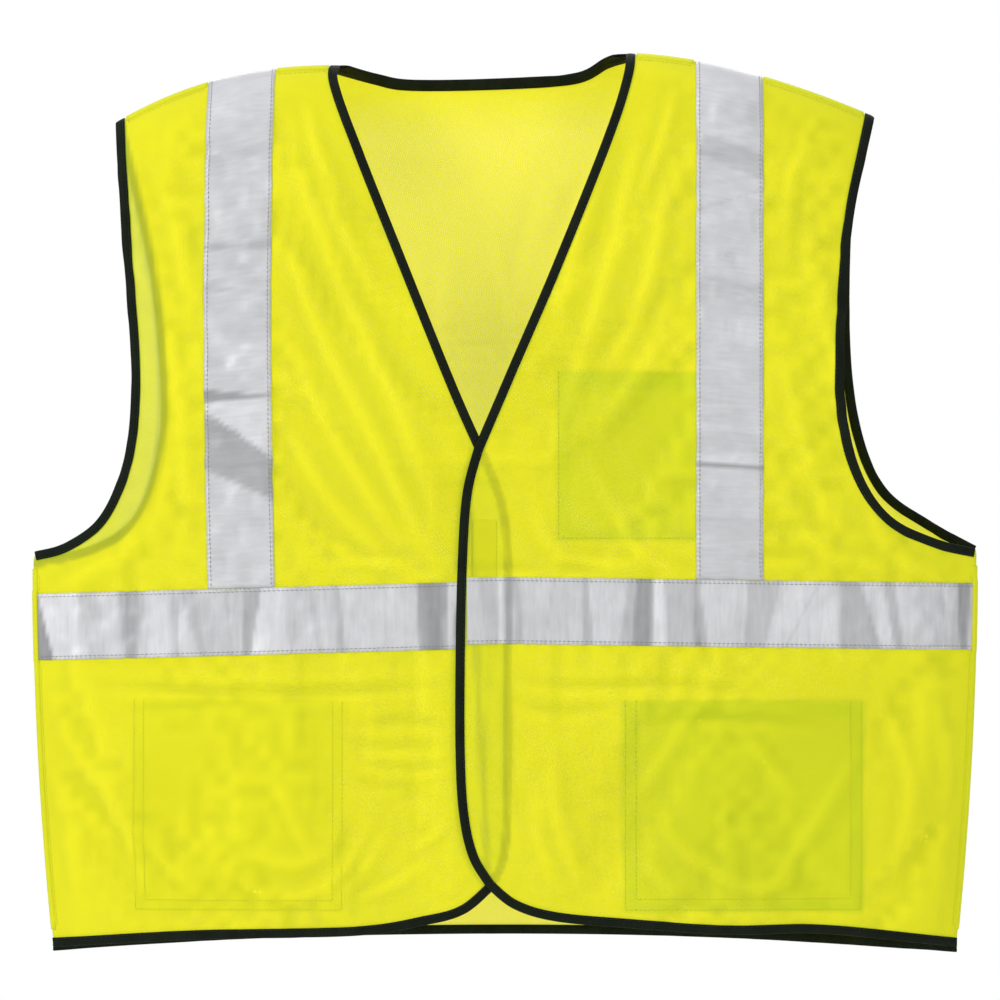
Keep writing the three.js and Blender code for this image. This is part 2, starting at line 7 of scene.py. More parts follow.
# %% Tools
import math
import bpy
import numpy as np
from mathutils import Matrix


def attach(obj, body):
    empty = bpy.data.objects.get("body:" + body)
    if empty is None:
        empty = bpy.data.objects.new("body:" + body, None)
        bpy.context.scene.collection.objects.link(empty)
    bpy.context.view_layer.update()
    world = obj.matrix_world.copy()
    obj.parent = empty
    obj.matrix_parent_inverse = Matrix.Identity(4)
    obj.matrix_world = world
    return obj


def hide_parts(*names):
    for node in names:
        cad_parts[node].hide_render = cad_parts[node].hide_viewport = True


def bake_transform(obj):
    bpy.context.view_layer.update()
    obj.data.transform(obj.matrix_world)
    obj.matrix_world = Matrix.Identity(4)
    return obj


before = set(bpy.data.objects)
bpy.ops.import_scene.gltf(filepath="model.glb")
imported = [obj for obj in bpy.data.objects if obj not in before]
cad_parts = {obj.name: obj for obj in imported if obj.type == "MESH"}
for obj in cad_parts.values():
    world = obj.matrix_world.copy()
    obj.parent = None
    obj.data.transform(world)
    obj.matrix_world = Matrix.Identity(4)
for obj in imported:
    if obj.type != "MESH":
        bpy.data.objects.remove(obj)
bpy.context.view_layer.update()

# %% [markdown]
# ## The sizes
# These are the same values as the solid model's, in metres.

# %% Sizes
HALF_CHEST = 0.3545
HEM_NARROWING = 0.015
HALF_DEPTH = 0.045
SHOULDER_ROUND = 0.060
UNDERARM_Z = -0.371
HEM_Z = -0.664
SEAM_HALF_GAP = 0.0007
FABRIC = 0.0006
TAPE = 0.0005
TAPE_WIDTH = 0.050
FIT = 0.00035
LAP = 0.00395
LEFT_TAPE_X, RIGHT_TAPE_X = 0.168, -0.197
NECK_LEFT_X, NECK_RIGHT_X = 0.0945, -0.1275
LAP_FULL_X, LAP_NONE_X = 0.008, 0.088
FRONT, BACK = -1.0, 1.0
GRID = 0.004                      # size of one face of the cloth
TAPE_OUT = FABRIC / 2 + FIT       # where the tape's inner face lies, from the cloth's middle

# %% [markdown]
# ## The surface
# A worn vest is a flattened tube: nearly flat across the chest, closing to an edge at each side seam, and
# turning over at the shoulders. `half_depth` is that tube. The ridge of the shoulders is a bowed line.

# %% Surface
def smoothstep(value, low, high):
    """0 before low, 1 after high, and an S between."""
    share = np.clip((value - low) / (high - low), 0, 1)
    return share * share * (3 - 2 * share)


def ridge(x):
    """Height of the shoulder line: straight across the neck, then falling as a power of the distance out."""
    left = 0.003 - 0.046 * np.clip((x - NECK_LEFT_X) / 0.1795, 0, None) ** 1.66
    right = -0.006 - 0.041 * np.clip((NECK_RIGHT_X - x) / 0.1615, 0, None) ** 2.25
    middle = -0.006 + 0.009 * np.clip((x - NECK_RIGHT_X) / 0.222, 0, 1)
    return np.where(x > NECK_LEFT_X, left, np.where(x < NECK_RIGHT_X, right, middle))


def half_width(z):
    """Half the width at a height: even down to the underarm, then in a little as a square to the hem."""
    return HALF_CHEST - HEM_NARROWING * np.clip((UNDERARM_Z - z) / (UNDERARM_Z - HEM_Z), 0, 1) ** 2


def half_depth(x, z):
    """Half the depth: 1 minus the fourth power across, times a quarter of an ellipse over the shoulder."""
    across = np.minimum(np.abs(x) / half_width(z), 1)
    below = np.clip((ridge(x) - z) / SHOULDER_ROUND, 0, 1)
    return SEAM_HALF_GAP + HALF_DEPTH * (1 - across ** 4) * np.sqrt(np.clip(1 - (1 - below) ** 2, 0, 1))


def flat_place(x, z):
    """Where a point lies in the flat cut: lengths along the cloth, across it and up over the shoulder."""
    share = np.linspace(0, 1, 400)
    slope = 4 * HALF_DEPTH / HALF_CHEST * share ** 3
    across = np.concatenate([[0], np.cumsum(np.sqrt(1 + slope[1:] ** 2) / 399)])
    u = np.sign(x) * half_width(z) * np.interp(np.minimum(np.abs(x) / half_width(z), 1), share, across)
    angle = np.linspace(0, math.pi / 2, 400)
    step = np.hypot(SHOULDER_ROUND * np.cos(angle[1:]),
                    HALF_DEPTH * np.sin(angle[1:])) * (angle[1] - angle[0])
    turn = np.concatenate([[0], np.cumsum(step)])
    rise = 1 - np.clip((ridge(x) - z) / SHOULDER_ROUND, 0, 1)
    v = np.where(rise > 0, ridge(x) - SHOULDER_ROUND + np.interp(np.arcsin(np.clip(rise, 0, 1)), angle, turn), z)
    return u, v


# %% [markdown]
# ## Folds
# Cloth that has been packed and pulled over a form keeps soft folds. They are heights on a grid over the
# front and over the back, and every layer there rises and falls by the same grid, so no layer cuts another.
# A fold is a bell of the distance from a bent line, steeper on one side, fading towards its two ends.

# %% Fold grids
PITCH = 0.002
grid_x = np.arange(-0.37, 0.3701, PITCH)
grid_z = np.arange(-0.69, 0.0121, PITCH)
GX, GZ = np.meshgrid(grid_x, grid_z)
rng = np.random.default_rng(11)


def spline(points, count=12):
    """A smooth line through points: on each span, a cubic whose slopes are half the step between neighbours."""
    p = np.asarray(points, float)
    p = np.vstack([p[:1], p, p[-1:]])
    t = np.linspace(0, 1, count, endpoint=False)[None, :, None]
    a, b, c, d = p[:-3, None], p[1:-2, None], p[2:-1, None], p[3:, None]
    v0, v1 = (c - a) / 2, (d - b) / 2
    body = (2 * b - 2 * c + v0 + v1) * t ** 3 + (-3 * b + 3 * c - 2 * v0 - v1) * t ** 2 + v0 * t + b
    return np.vstack([body.reshape(-1, 2), p[-1:]])


def fold(points, width, height, lean=1.6):
    """Height x a bell of the distance from the line. The bell is `lean` times wider on the line's left."""
    line = spline(np.asarray(points) / 1000, 6)
    a, b = line[:-1], line[1:]
    step = b - a
    length = np.hypot(*step.T)
    along = np.concatenate([[0], np.cumsum(length)]) / length.sum()
    best = np.full(GX.shape, 1e9)
    signed, place = np.zeros(GX.shape), np.zeros(GX.shape)
    for k in range(len(a)):
        dx, dz = GX - a[k, 0], GZ - a[k, 1]
        t = np.clip((dx * step[k, 0] + dz * step[k, 1]) / length[k] ** 2, 0, 1)
        distance = np.hypot(dx - t * step[k, 0], dz - t * step[k, 1])
        side = np.sign(step[k, 0] * dz - step[k, 1] * dx)
        near = distance < best
        best[near] = distance[near]
        signed[near] = (distance * side)[near]
        place[near] = (along[k] + t * (along[k + 1] - along[k]))[near]
    reach = np.where(signed > 0, width * lean, width) / 1000
    return height / 1000 * np.exp(-(best / reach) ** 2) * np.sin(math.pi * np.clip(place, 0.03, 0.97)) ** 0.7


def sample(field, x, z):
    """The grid's height at any point, blended from the four nearest."""
    i = np.clip((np.asarray(x) - grid_x[0]) / PITCH, 0, len(grid_x) - 1.001)
    j = np.clip((np.asarray(z) - grid_z[0]) / PITCH, 0, len(grid_z) - 1.001)
    i0, j0 = i.astype(int), j.astype(int)
    s, t = i - i0, j - j0
    return ((1 - s) * (1 - t) * field[j0, i0] + s * (1 - t) * field[j0, i0 + 1]
            + (1 - s) * t * field[j0 + 1, i0] + s * t * field[j0 + 1, i0 + 1])


# %% [markdown]
# The soft folds of each front, in millimetres: the bent line, the width and the height. The long ones are
# drag lines, where the cloth hangs from the shoulder towards the closure. The short ones are near the hem.

# %% Fold lines
FRONT_FOLDS = [
    ([(-161, -54), (-131, -152), (-82, -256), (-49, -346)], 8, 2.2),
    ([(-165, -129), (-139, -204), (-101, -279), (-56, -376)], 7, 2.4),
    ([(-165, -204), (-131, -279), (-79, -362)], 6, 2.0),
    ([(-166, -272), (-131, -332), (-79, -384)], 6, 1.8),
    ([(-148, -60), (-120, -130), (-92, -190)], 6, 1.3),
    ([(-246, -475), (-180, -480), (-111, -476)], 5, -1.4),
    ([(-120, -510), (-85, -516), (-45, -514)], 5, -1.2),
    ([(-115, -541), (-80, -545), (-40, -542)], 5, -1.3),
    ([(-72, -594), (-58, -586), (-42, -572)], 4, 1.1),
    ([(-173, -540), (-160, -570), (-143, -602)], 5, 1.5),
    ([(-278, -570), (-255, -600), (-228, -632)], 6, 1.6),
    ([(-112, -594), (-126, -616), (-142, -642)], 5, 1.2),
    ([(-263, -69), (-246, -130), (-229, -210)], 8, 1.8),
    ([(-250, -200), (-243, -270), (-236, -350)], 7, 1.5),
    ([(-320, -460), (-300, -520), (-290, -590)], 9, 1.6),
    ([(-210, -500), (-200, -560), (-205, -640)], 9, 1.1),
    ([(82, -40), (62, -110), (36, -208)], 7, 2.0),
    ([(103, -50), (66, -200), (38, -280)], 8, 2.4),
    ([(126, -66), (103, -182), (68, -246)], 7, 2.0),
    ([(130, -150), (112, -210), (60, -300)], 7, 1.3),
    ([(10, -484), (45, -488), (84, -484)], 5, -1.3),
    ([(146, -480), (125, -512), (98, -554)], 6, 1.9),
    ([(168, -494), (188, -520), (218, -558)], 6, 1.7),
    ([(164, -550), (162, -580), (165, -610)], 5, 1.4),
    ([(260, -522), (232, -570), (192, -630)], 6, 1.8),
    ([(102, -598), (112, -612), (130, -630)], 5, 1.3),
    ([(212, -100), (240, -200), (262, -300), (276, -350)], 9, 2.2),
    ([(205, -210), (222, -290), (250, -370)], 8, 1.6),
    ([(290, -370), (308, -430), (312, -520), (300, -600)], 10, 1.6),
    ([(20, -330), (40, -372), (110, -382)], 6, 1.2),
    ([(30, -530), (24, -580), (44, -630)], 7, 1.2),
    ([(-300, -470), (-200, -474), (-90, -472), (-40, -468)], 4, -2.0),
    ([(-280, -488), (-220, -484), (-160, -488)], 4, -1.2),
    ([(-110, -500), (-80, -496), (-42, -500)], 4, -1.3), ([(-105, -528), (-70, -532), (-40, -528)], 4, -1.2),
    ([(-90, -556), (-66, -552), (-42, -556)], 4, -1.0),
    ([(-232, -560), (-206, -608), (-160, -630), (-118, -606), (-100, -560)], 6, 1.7),
    ([(-214, -560), (-194, -590), (-160, -604), (-130, -590), (-118, -556)], 6, 1.3),
    ([(-342, -488), (-312, -530), (-282, -582), (-270, -630)], 7, 1.9),
    ([(-346, -520), (-330, -570), (-322, -630)], 6, 1.4), ([(-90, -580), (-104, -604), (-130, -636)], 5, 1.5),
    ([(-60, -600), (-80, -616), (-112, -630)], 4, 1.2),
    ([(14, -466), (60, -470), (120, -468), (180, -474)], 4, -1.6), ([(100, -500), (160, -494), (240, -500)], 4, -1.2),
    ([(110, -560), (140, -600), (190, -622), (232, -600)], 6, 1.5), ([(280, -480), (300, -540), (290, -620)], 6, 1.6),
    ([(320, -470), (330, -540), (322, -640)], 6, 1.5), ([(40, -500), (36, -560), (60, -630)], 6, 1.5),
    ([(-300, -90), (-286, -140), (-262, -180)], 5, 1.2), ([(-262, -330), (-290, -370), (-340, -400)], 6, 1.5),
    ([(-250, -300), (-262, -350), (-300, -388)], 6, 1.5), ([(270, -330), (290, -372), (340, -398)], 6, 1.6),
    ([(236, -40), (214, -90), (206, -140)], 6, 1.4), ([(-150, -30), (-140, -70), (-118, -110)], 5, 1.3),
    ([(128, -14), (118, -60), (96, -120)], 5, 1.4), ([(-150, -350), (-110, -376), (-50, -384)], 5, 1.3),
    ([(60, -300), (100, -370), (136, -384)], 5, 1.1), ([(210, -330), (240, -372), (300, -384)], 6, 1.3),
]
front_folds = 2.3 * sum(fold(points, 0.85 * width, height) for points, width, height in FRONT_FOLDS)
for _ in range(70):
    x0, z0 = rng.uniform(-320, 320), rng.uniform(-620, -60)
    lean, long = rng.normal(0.25 * np.sign(x0), 0.5), rng.uniform(35, 95)
    front_folds += fold([(x0, z0), (x0 - long * lean * 0.4, z0 - long * 0.5), (x0 - long * lean, z0 - long)],
                        rng.uniform(2.5, 5), rng.uniform(0.3, 0.9))
back_folds = np.zeros(GX.shape)
for _ in range(60):
    x0, z0 = rng.uniform(-300, 300), rng.uniform(-580, -60)
    dx, dz = rng.uniform(-40, 40), rng.uniform(60, 150)
    back_folds += fold([(x0, z0), (x0 + dx * 0.6, z0 - dz * 0.5), (x0 + dx, z0 - dz)],
                       rng.uniform(4, 9), rng.uniform(1.2, 3.2))

# %% [markdown]
# The tape is stiffer than the cloth and creases across its width. `WAIST_CREASES` are places across the
# waist, each with a width and a depth, and the shoulder creases are short lines across those tapes.

# %% Tape creases
WAIST_CREASES = [(-349, 7, 1.0), (-335, 5, 0.6), (-280, 5, 0.9), (-240, 4, 0.8), (-192, 7, 1.0), (-158, 4, 0.4),
                 (-125, 5, 0.9), (-95, 4, 0.4), (-55, 13, 1.3), (-10, 4, 0.5), (4, 6, 0.9), (62, 4, 0.8),
                 (102, 11, 1.1), (128, 3, -0.5), (147, 3, -0.6), (188, 4, 0.7), (225, 3, 0.4), (257, 4, 0.7),
                 (289, 4, 0.7), (330, 4, 0.5), (345, 7, -0.7)]
SHOULDER_CREASES = [
    ([(-226, -137), (-198, -134), (-170, -137)], 3, 0.9), ([(-228, -252), (-198, -257), (-168, -254)], 4, 1.3),
    ([(-228, -268), (-198, -298), (-170, -332)], 5, 1.3), ([(-222, -300), (-205, -318), (-192, -340)], 5, 1.0),
    ([(-226, -190), (-200, -200), (-170, -196)], 3, 0.5), ([(-224, -75), (-200, -84), (-172, -80)], 3, 0.5),
    ([(-210, -340), (-196, -360), (-184, -386)], 4, 0.7), ([(-226, -218), (-210, -226), (-186, -222)], 2.5, 0.5),
    ([(144, -75), (168, -66), (196, -50)], 3, 1.1), ([(142, -168), (168, -165), (196, -168)], 3, 0.8),
    ([(142, -312), (168, -310), (196, -303)], 4, 1.3), ([(142, -372), (168, -362), (196, -366)], 3, 0.8),
    ([(142, -262), (168, -259), (196, -264)], 2.5, 0.6), ([(142, -276), (170, -279), (196, -274)], 2.5, 0.6),
    ([(142, -292), (168, -290), (196, -293)], 2.5, 0.5), ([(144, -110), (166, -122), (196, -118)], 3, 0.5),
    ([(150, -200), (170, -214), (194, -210)], 3, 0.5), ([(142, -338), (160, -334), (178, -342)], 2.5, 0.5),
]


def waist_z(x, side, lapped=None):
    """Height of the waist tape's middle line: it falls a little to each side seam, and evenly over the back."""
    share = np.abs(x) / HALF_CHEST
    left = (x > 0) if lapped is None else lapped
    front = np.where(left, -0.414 - 0.005 * share, -0.417 - 0.010 * share)
    return front if side == FRONT else -0.423 + 0.004 * x / HALF_CHEST


def creases(places, side, seed):
    """Upright creases over the waist tape: bells across, each leaning a little, fading above and below it."""
    draw = np.random.default_rng(seed)
    z = GZ - waist_z(GX, side)
    total = np.zeros(GX.shape)
    for x, width, depth in places:
        lean = draw.uniform(-0.18, 0.18)
        total -= depth / 1000 * np.exp(-((GX - x / 1000 - lean * z) / (width / 1000)) ** 2)
    return total * (1 - smoothstep(np.abs(z), 0.024, 0.040))


front_creases = creases(WAIST_CREASES, FRONT, 3)
draw = np.random.default_rng(5)
back_places = [(x, draw.uniform(3, 9), draw.uniform(-0.5, 1.1))
               for x in np.arange(-330, 331, 31) + draw.uniform(-9, 9, 22)]
back_creases = creases(back_places, BACK, 4)
across_tapes = np.maximum(1 - smoothstep(np.abs(GX - LEFT_TAPE_X), 0.024, 0.034),
                          1 - smoothstep(np.abs(GX - RIGHT_TAPE_X), 0.024, 0.034))
shoulder_front = -sum(fold(points, width, depth, 1.2)
                      for points, width, depth in SHOULDER_CREASES) * across_tapes
shoulder_back = -sum(fold([(x - 26, z), (x, z + draw.uniform(-14, 14)), (x + 26, z + draw.uniform(-20, 20))],
                          draw.uniform(2.5, 5), draw.uniform(0.4, 1.2), 1.2)
                     for x in (168, -197) for z in (-80, -130, -180, -225, -270, -310, -350)) * across_tapes

# %% [markdown]
# ## A short cloth simulation
# Between the drawn folds the cloth is taken to buckle a little, as if it were cut slightly larger than the
# stitched tape holds it. A coarse sheet in the shape of each side is pinned along its seams and tapes, grown
# by a little, and left to settle under its own weight. Only its height off the surface is kept.

# %% Cloth simulation
def settle(side, seed):
    """Heights on the fold grid of a grown sheet, pinned at its rim and less firmly at the tapes."""
    step = 0.010
    xs, zs = np.arange(-0.35, 0.3501, step), np.arange(-0.66, 0.0001, step)
    X, Z = np.meshgrid(xs, zs)
    rim = np.minimum(half_width(Z) - np.abs(X), ridge(X) - Z)
    arm = np.where(Z > UNDERARM_Z, 0.262 - np.abs(X), 1)
    rim = np.minimum(rim, np.where(Z > UNDERARM_Z + 0.02, arm, rim))
    start = np.stack([X, side * half_depth(X, Z), Z], -1)
    noise = np.random.default_rng(seed).normal(0, 0.0004, X.shape)
    start[..., 1] += side * noise
    rows, columns = X.shape
    faces = grid_faces(rows, columns)
    mesh = bpy.data.meshes.new("settling")
    mesh.from_pydata(start.reshape(-1, 3).tolist(), [], faces.tolist())
    sheet = bpy.data.objects.new("settling", mesh)
    bpy.context.scene.collection.objects.link(sheet)
    near_waist = 1 - smoothstep(np.abs(Z - waist_z(X, side)), 0.020, 0.035)
    near_tape = np.maximum(1 - smoothstep(np.abs(X - LEFT_TAPE_X), 0.020, 0.032),
                           1 - smoothstep(np.abs(X - RIGHT_TAPE_X), 0.020, 0.032))
    hold = np.maximum(1 - smoothstep(rim, 0.004, 0.016), 0.35 * np.maximum(near_waist, near_tape))
    group = sheet.vertex_groups.new(name="pin")
    for index, value in enumerate(hold.reshape(-1)):
        group.add([index], float(value), "REPLACE")
    cloth = sheet.modifiers.new("cloth", "CLOTH")
    cloth.settings.quality = 6
    cloth.settings.mass = 0.08
    cloth.settings.tension_stiffness = 25
    cloth.settings.compression_stiffness = 25
    cloth.settings.shear_stiffness = 12
    cloth.settings.bending_stiffness = 0.4
    cloth.settings.vertex_group_mass = "pin"
    cloth.settings.shrink_min = -0.022
    cloth.settings.shrink_max = -0.022
    for number in range(1, 31):
        bpy.context.scene.frame_set(number)
    done = sheet.evaluated_get(bpy.context.evaluated_depsgraph_get())
    end = np.empty(rows * columns * 3)
    done.data.vertices.foreach_get("co", end)
    end = end.reshape(rows, columns, 3)
    height = side * (end[..., 1] - side * half_depth(X, Z))
    height = np.clip(height - np.mean(height[rim > 0.03]), -0.003, 0.003)
    bpy.context.scene.frame_set(1)
    bpy.data.objects.remove(sheet)
    bpy.data.meshes.remove(mesh)
    print("settled side", side, "height from", height.min().round(4), "to", height.max().round(4))
    i = np.clip((GX - xs[0]) / step, 0, columns - 1.001)
    j = np.clip((GZ - zs[0]) / step, 0, rows - 1.001)
    i0, j0 = i.astype(int), j.astype(int)
    s, t = smoothstep(i - i0, 0, 1), smoothstep(j - j0, 0, 1)
    return ((1 - s) * (1 - t) * height[j0, i0] + s * (1 - t) * height[j0, i0 + 1]
            + (1 - s) * t * height[j0 + 1, i0] + s * t * height[j0 + 1, i0 + 1])


def grid_faces(rows, columns):
    """The four corners of each face of a grid of rows x columns points, counted row by row."""
    k = (np.arange(rows - 1)[:, None] * columns + np.arange(columns - 1)[None, :]).reshape(-1)
    return np.stack([k, k + 1, k + columns + 1, k + columns], -1)


calm = np.minimum(smoothstep(half_width(GZ) - np.abs(GX), 0.0, 0.030), smoothstep(ridge(GX) - GZ, 0.0, 0.045))
front_settled, back_settled = settle(FRONT, 21), settle(BACK, 22)
front_field = calm * (front_folds + front_creases + shoulder_front + front_settled)
back_field = calm * (back_folds + back_creases + shoulder_back + back_settled)
print("front folds from", front_field.min().round(4), "to", front_field.max().round(4))


def fold_painted_shading(field, reach=4):
    """How far each place lies below the mean round it: painted shade in the bottom of a fold, a painted highlight on
    its crest.
    """
    total, count = np.zeros(field.shape), 0
    for i in range(-reach, reach + 1):
        for j in range(-reach, reach + 1):
            total += np.roll(field, (i, j), (0, 1))
            count += 1
    return np.clip((total / count - field) / 0.0011, -1, 1)


# Painted shade in the bottoms of the folds and a painted highlight on their crests, kept for the cloth's colour.
front_fold_painted_shading, back_fold_painted_shading = fold_painted_shading(front_field), fold_painted_shading(back_field)


# %% [markdown]
# `place` is the one function that every layer uses. It goes out from the body along the surface's own
# normal by the fold height, the piece's own distance, and, where the left front laps over the right one,
# the room that the right front and the closure need.

# %% Placing
def place(x, z, side, out, lapped=False):
    """Points at (x, z) of one side: the body, plus its normal x (out + fold height + lap)."""
    x, z = np.broadcast_arrays(np.asarray(x, float), np.asarray(z, float))
    step = 0.00005
    height = np.minimum(z, ridge(x) - step / 2)
    depth = half_depth(x, height)
    slope_x = (half_depth(x + step, height) - half_depth(x - step, height)) / (2 * step)
    slope_z = (depth - half_depth(x, height - step)) / step
    normal = np.stack([-slope_x, np.full(x.shape, side), -slope_z], -1)
    normal /= np.linalg.norm(normal, axis=-1, keepdims=True)
    away = out + sample(front_field if side == FRONT else back_field, x, z)
    if lapped:
        away = away + LAP * (1 - smoothstep(x, LAP_FULL_X, LAP_NONE_X))
    return np.stack([x, side * depth, height], -1) + normal * np.asarray(away)[..., None]


# %% [markdown]
# ## The outlines
# The edges of each cut piece, as smooth lines through a few points (x, z) in millimetres.

# %% Outlines
def outline(*points):
    return spline(np.array(points) / 1000, 40)


left_neckline = outline((94.5, 3), (91.5, -16), (76, -64), (37.5, -160), (4, -238), (-20, -294))
left_edge = outline((-20, -294), (-28.5, -328), (-32, -380), (-33.5, -450), (-33.5, -520), (-31, -565),
                    (-24, -597), (-11, -619))
left_hem = outline((-11, -619), (8, -634), (38, -643), (92, -648), (164, -653), (240, -653), (339.5, -664))
right_neckline = outline((-127.5, -6), (-128, -20), (-109, -73), (-80, -146), (-39, -248), (-13.5, -305))
right_edge = outline((-13.5, -305), (-3, -333), (2, -372), (2, -450), (2, -530), (1, -580), (-3, -605),
                     (-12.5, -622))
right_hem = outline((-12.5, -622), (-32, -638), (-60, -646), (-114, -654), (-235, -657), (-339.5, -664))
back_hem = outline((-339.5, -667), (-175, -659), (0, -656), (164, -659), (339.5, -668))
back_neck = outline((-127.5, -6), (-97, -14), (-70, -18), (-4, -17), (53, -13), (77, -2), (94.5, 3))
left_armhole = outline((352.5, -371), (322, -364), (286, -346), (262, -311), (250, -258), (251, -190),
                       (258, -114), (274, -43))
left_armhole_back = outline((352.5, -369), (318, -350), (284, -324), (265, -278), (257, -212), (259, -114),
                            (274, -43))
right_armhole = outline((-352.5, -373.5), (-326, -366), (-300, -345), (-282, -303), (-276, -245),
                        (-280, -172), (-289, -47))
right_armhole_back = outline((-352.5, -379), (-307, -368), (-276, -345), (-259, -296), (-256, -240),
                             (-265, -155), (-289, -47))


def lengths(line):
    """Running length along a line, measured on the flat cut."""
    u, v = flat_place(line[:, 0], line[:, 1])
    return np.concatenate([[0], np.cumsum(np.hypot(np.diff(u), np.diff(v)))])


def resample(line, at):
    """Points of a line at given running lengths."""
    run = lengths(line)
    return np.stack([np.interp(at, run, line[:, k]) for k in (0, 1)], -1)


def evenly(line, step):
    run = lengths(line)[-1]
    return resample(line, np.linspace(0, run, max(2, round(run / step) + 1)))


def seam_line(corner, under):
    """The side seam, from the hem's corner up to the underarm."""
    z = np.linspace(corner[1], under[1], 90)
    return np.stack([np.sign(corner[0]) * (half_width(z) - 0.0002), z], -1)


def distance_to(line, x, z):
    """Distance of each point from the nearest point of a finely spaced line."""
    line = evenly(line, 0.0015)
    flat = np.stack([np.ravel(x), np.ravel(z)], -1)
    best = np.full(len(flat), 1e9)
    for chunk in np.array_split(line, max(1, len(line) // 40)):
        best = np.minimum(best, np.hypot(*(flat[:, None] - chunk[None]).transpose(2, 0, 1)).min(1))
    return best.reshape(np.shape(x))


# %% [markdown]
# ## Building a sheet
# Cloth, tape and pockets are all the same kind of thing: a grid of points on the outer face, a second grid
# one thickness inside it, and a narrow rim that joins them. `shell` makes that solid from any grid of
# (x, z) places. The rim's faces stay flat so that the edge is crisp.

# %% Shell
def shell(name, X, Z, side, near, far, material, lapped=False, masks=None, lift=0.0):
    """A closed sheet from `near` to `far` out from the cloth's middle, over a grid of places."""
    inner = place(X, Z, side, near + lift, lapped)
    outer = place(X, Z, side, far + lift, lapped)
    return shell_between(name, inner, outer, flat_place(X, Z), material, masks)


def shell_between(name, inner, outer, flat, material, masks=None):
    rows, columns = inner.shape[:2]
    count = rows * columns
    faces = grid_faces(rows, columns)
    index = np.arange(count).reshape(rows, columns)
    loop = np.concatenate([index[0, :], index[1:, -1], index[-1, -2::-1], index[-2:0:-1, 0]])
    after = np.roll(loop, -1)
    rim = np.stack([loop, loop + count, after + count, after], -1)
    verts = np.concatenate([inner.reshape(-1, 3), outer.reshape(-1, 3)])
    quads = np.concatenate([faces[:, ::-1], faces + count, rim[:, ::-1]])
    a, b, c, d = (outer.reshape(-1, 3)[faces[:, k]] for k in range(4))
    normal = np.cross(c - a, d - b)
    if np.sum(normal * (outer - inner).reshape(-1, 3)[faces[:, 0]]) < 0:
        quads = quads[:, ::-1]
    smooth = np.ones(len(quads), bool)
    smooth[-len(rim):] = False
    uv = np.stack([np.ravel(flat[0]), np.ravel(flat[1])], -1)
    return solid(name, verts, quads, material, smooth, np.concatenate([uv, uv]),
                 {"inner": np.repeat((1.0, 0.0), count),
                  **{key: np.concatenate([np.ravel(value)] * 2) for key, value in (masks or {}).items()}})


def solid(name, verts, quads, material, smooth=True, uv=None, masks=None):
    """A mesh object from points and four-cornered faces, with its flat-cut coordinates and masks."""
    mesh = bpy.data.meshes.new(name)
    mesh.vertices.add(len(verts))
    mesh.vertices.foreach_set("co", np.asarray(verts, np.float32).reshape(-1))
    mesh.loops.add(quads.size)
    mesh.loops.foreach_set("vertex_index", quads.reshape(-1).astype(np.int32))
    mesh.polygons.add(len(quads))
    mesh.polygons.foreach_set("loop_start", np.arange(0, quads.size, 4, dtype=np.int32))
    mesh.polygons.foreach_set("use_smooth", np.broadcast_to(smooth, len(quads)).astype(bool))
    mesh.update(calc_edges=True)
    if uv is not None:
        layer = mesh.uv_layers.new(name="cut")
        layer.uv.foreach_set("vector", np.asarray(uv, np.float32)[quads.reshape(-1)].reshape(-1))
    for key, value in (masks or {}).items():
        attribute = mesh.attributes.new(key, "FLOAT", "POINT")
        attribute.data.foreach_set("value", np.asarray(value, np.float32))
    mesh.materials.append(material)
    made = bpy.data.objects.new(name, mesh)
    bpy.context.scene.collection.objects.link(made)
    return made


def area_of(made):
    """Area of one face of a thin closed sheet: half of the whole mesh's area."""
    total = np.empty(len(made.data.polygons))
    made.data.polygons.foreach_get("area", total)
    return total.sum() / 2


# %% [markdown]
# ## Shared shader groups
# `Knit` gives the mesh cloth's holes and its yarn height from the flat cut's own coordinates, so the weave
# follows the cloth over the shoulder. `Uneven` is slow variation, used by every material.

# %% Shader groups
def group(name, inputs, outputs):
    tree = bpy.data.node_groups.new(name, "ShaderNodeTree")
    for key, kind, value in inputs:
        socket = tree.interface.new_socket(key, in_out="INPUT", socket_type=kind)
        if value is not None:
            socket.default_value = value
    for key, kind in outputs:
        tree.interface.new_socket(key, in_out="OUTPUT", socket_type=kind)
    return tree, Nodes(tree), tree.nodes.new("NodeGroupInput"), tree.nodes.new("NodeGroupOutput")


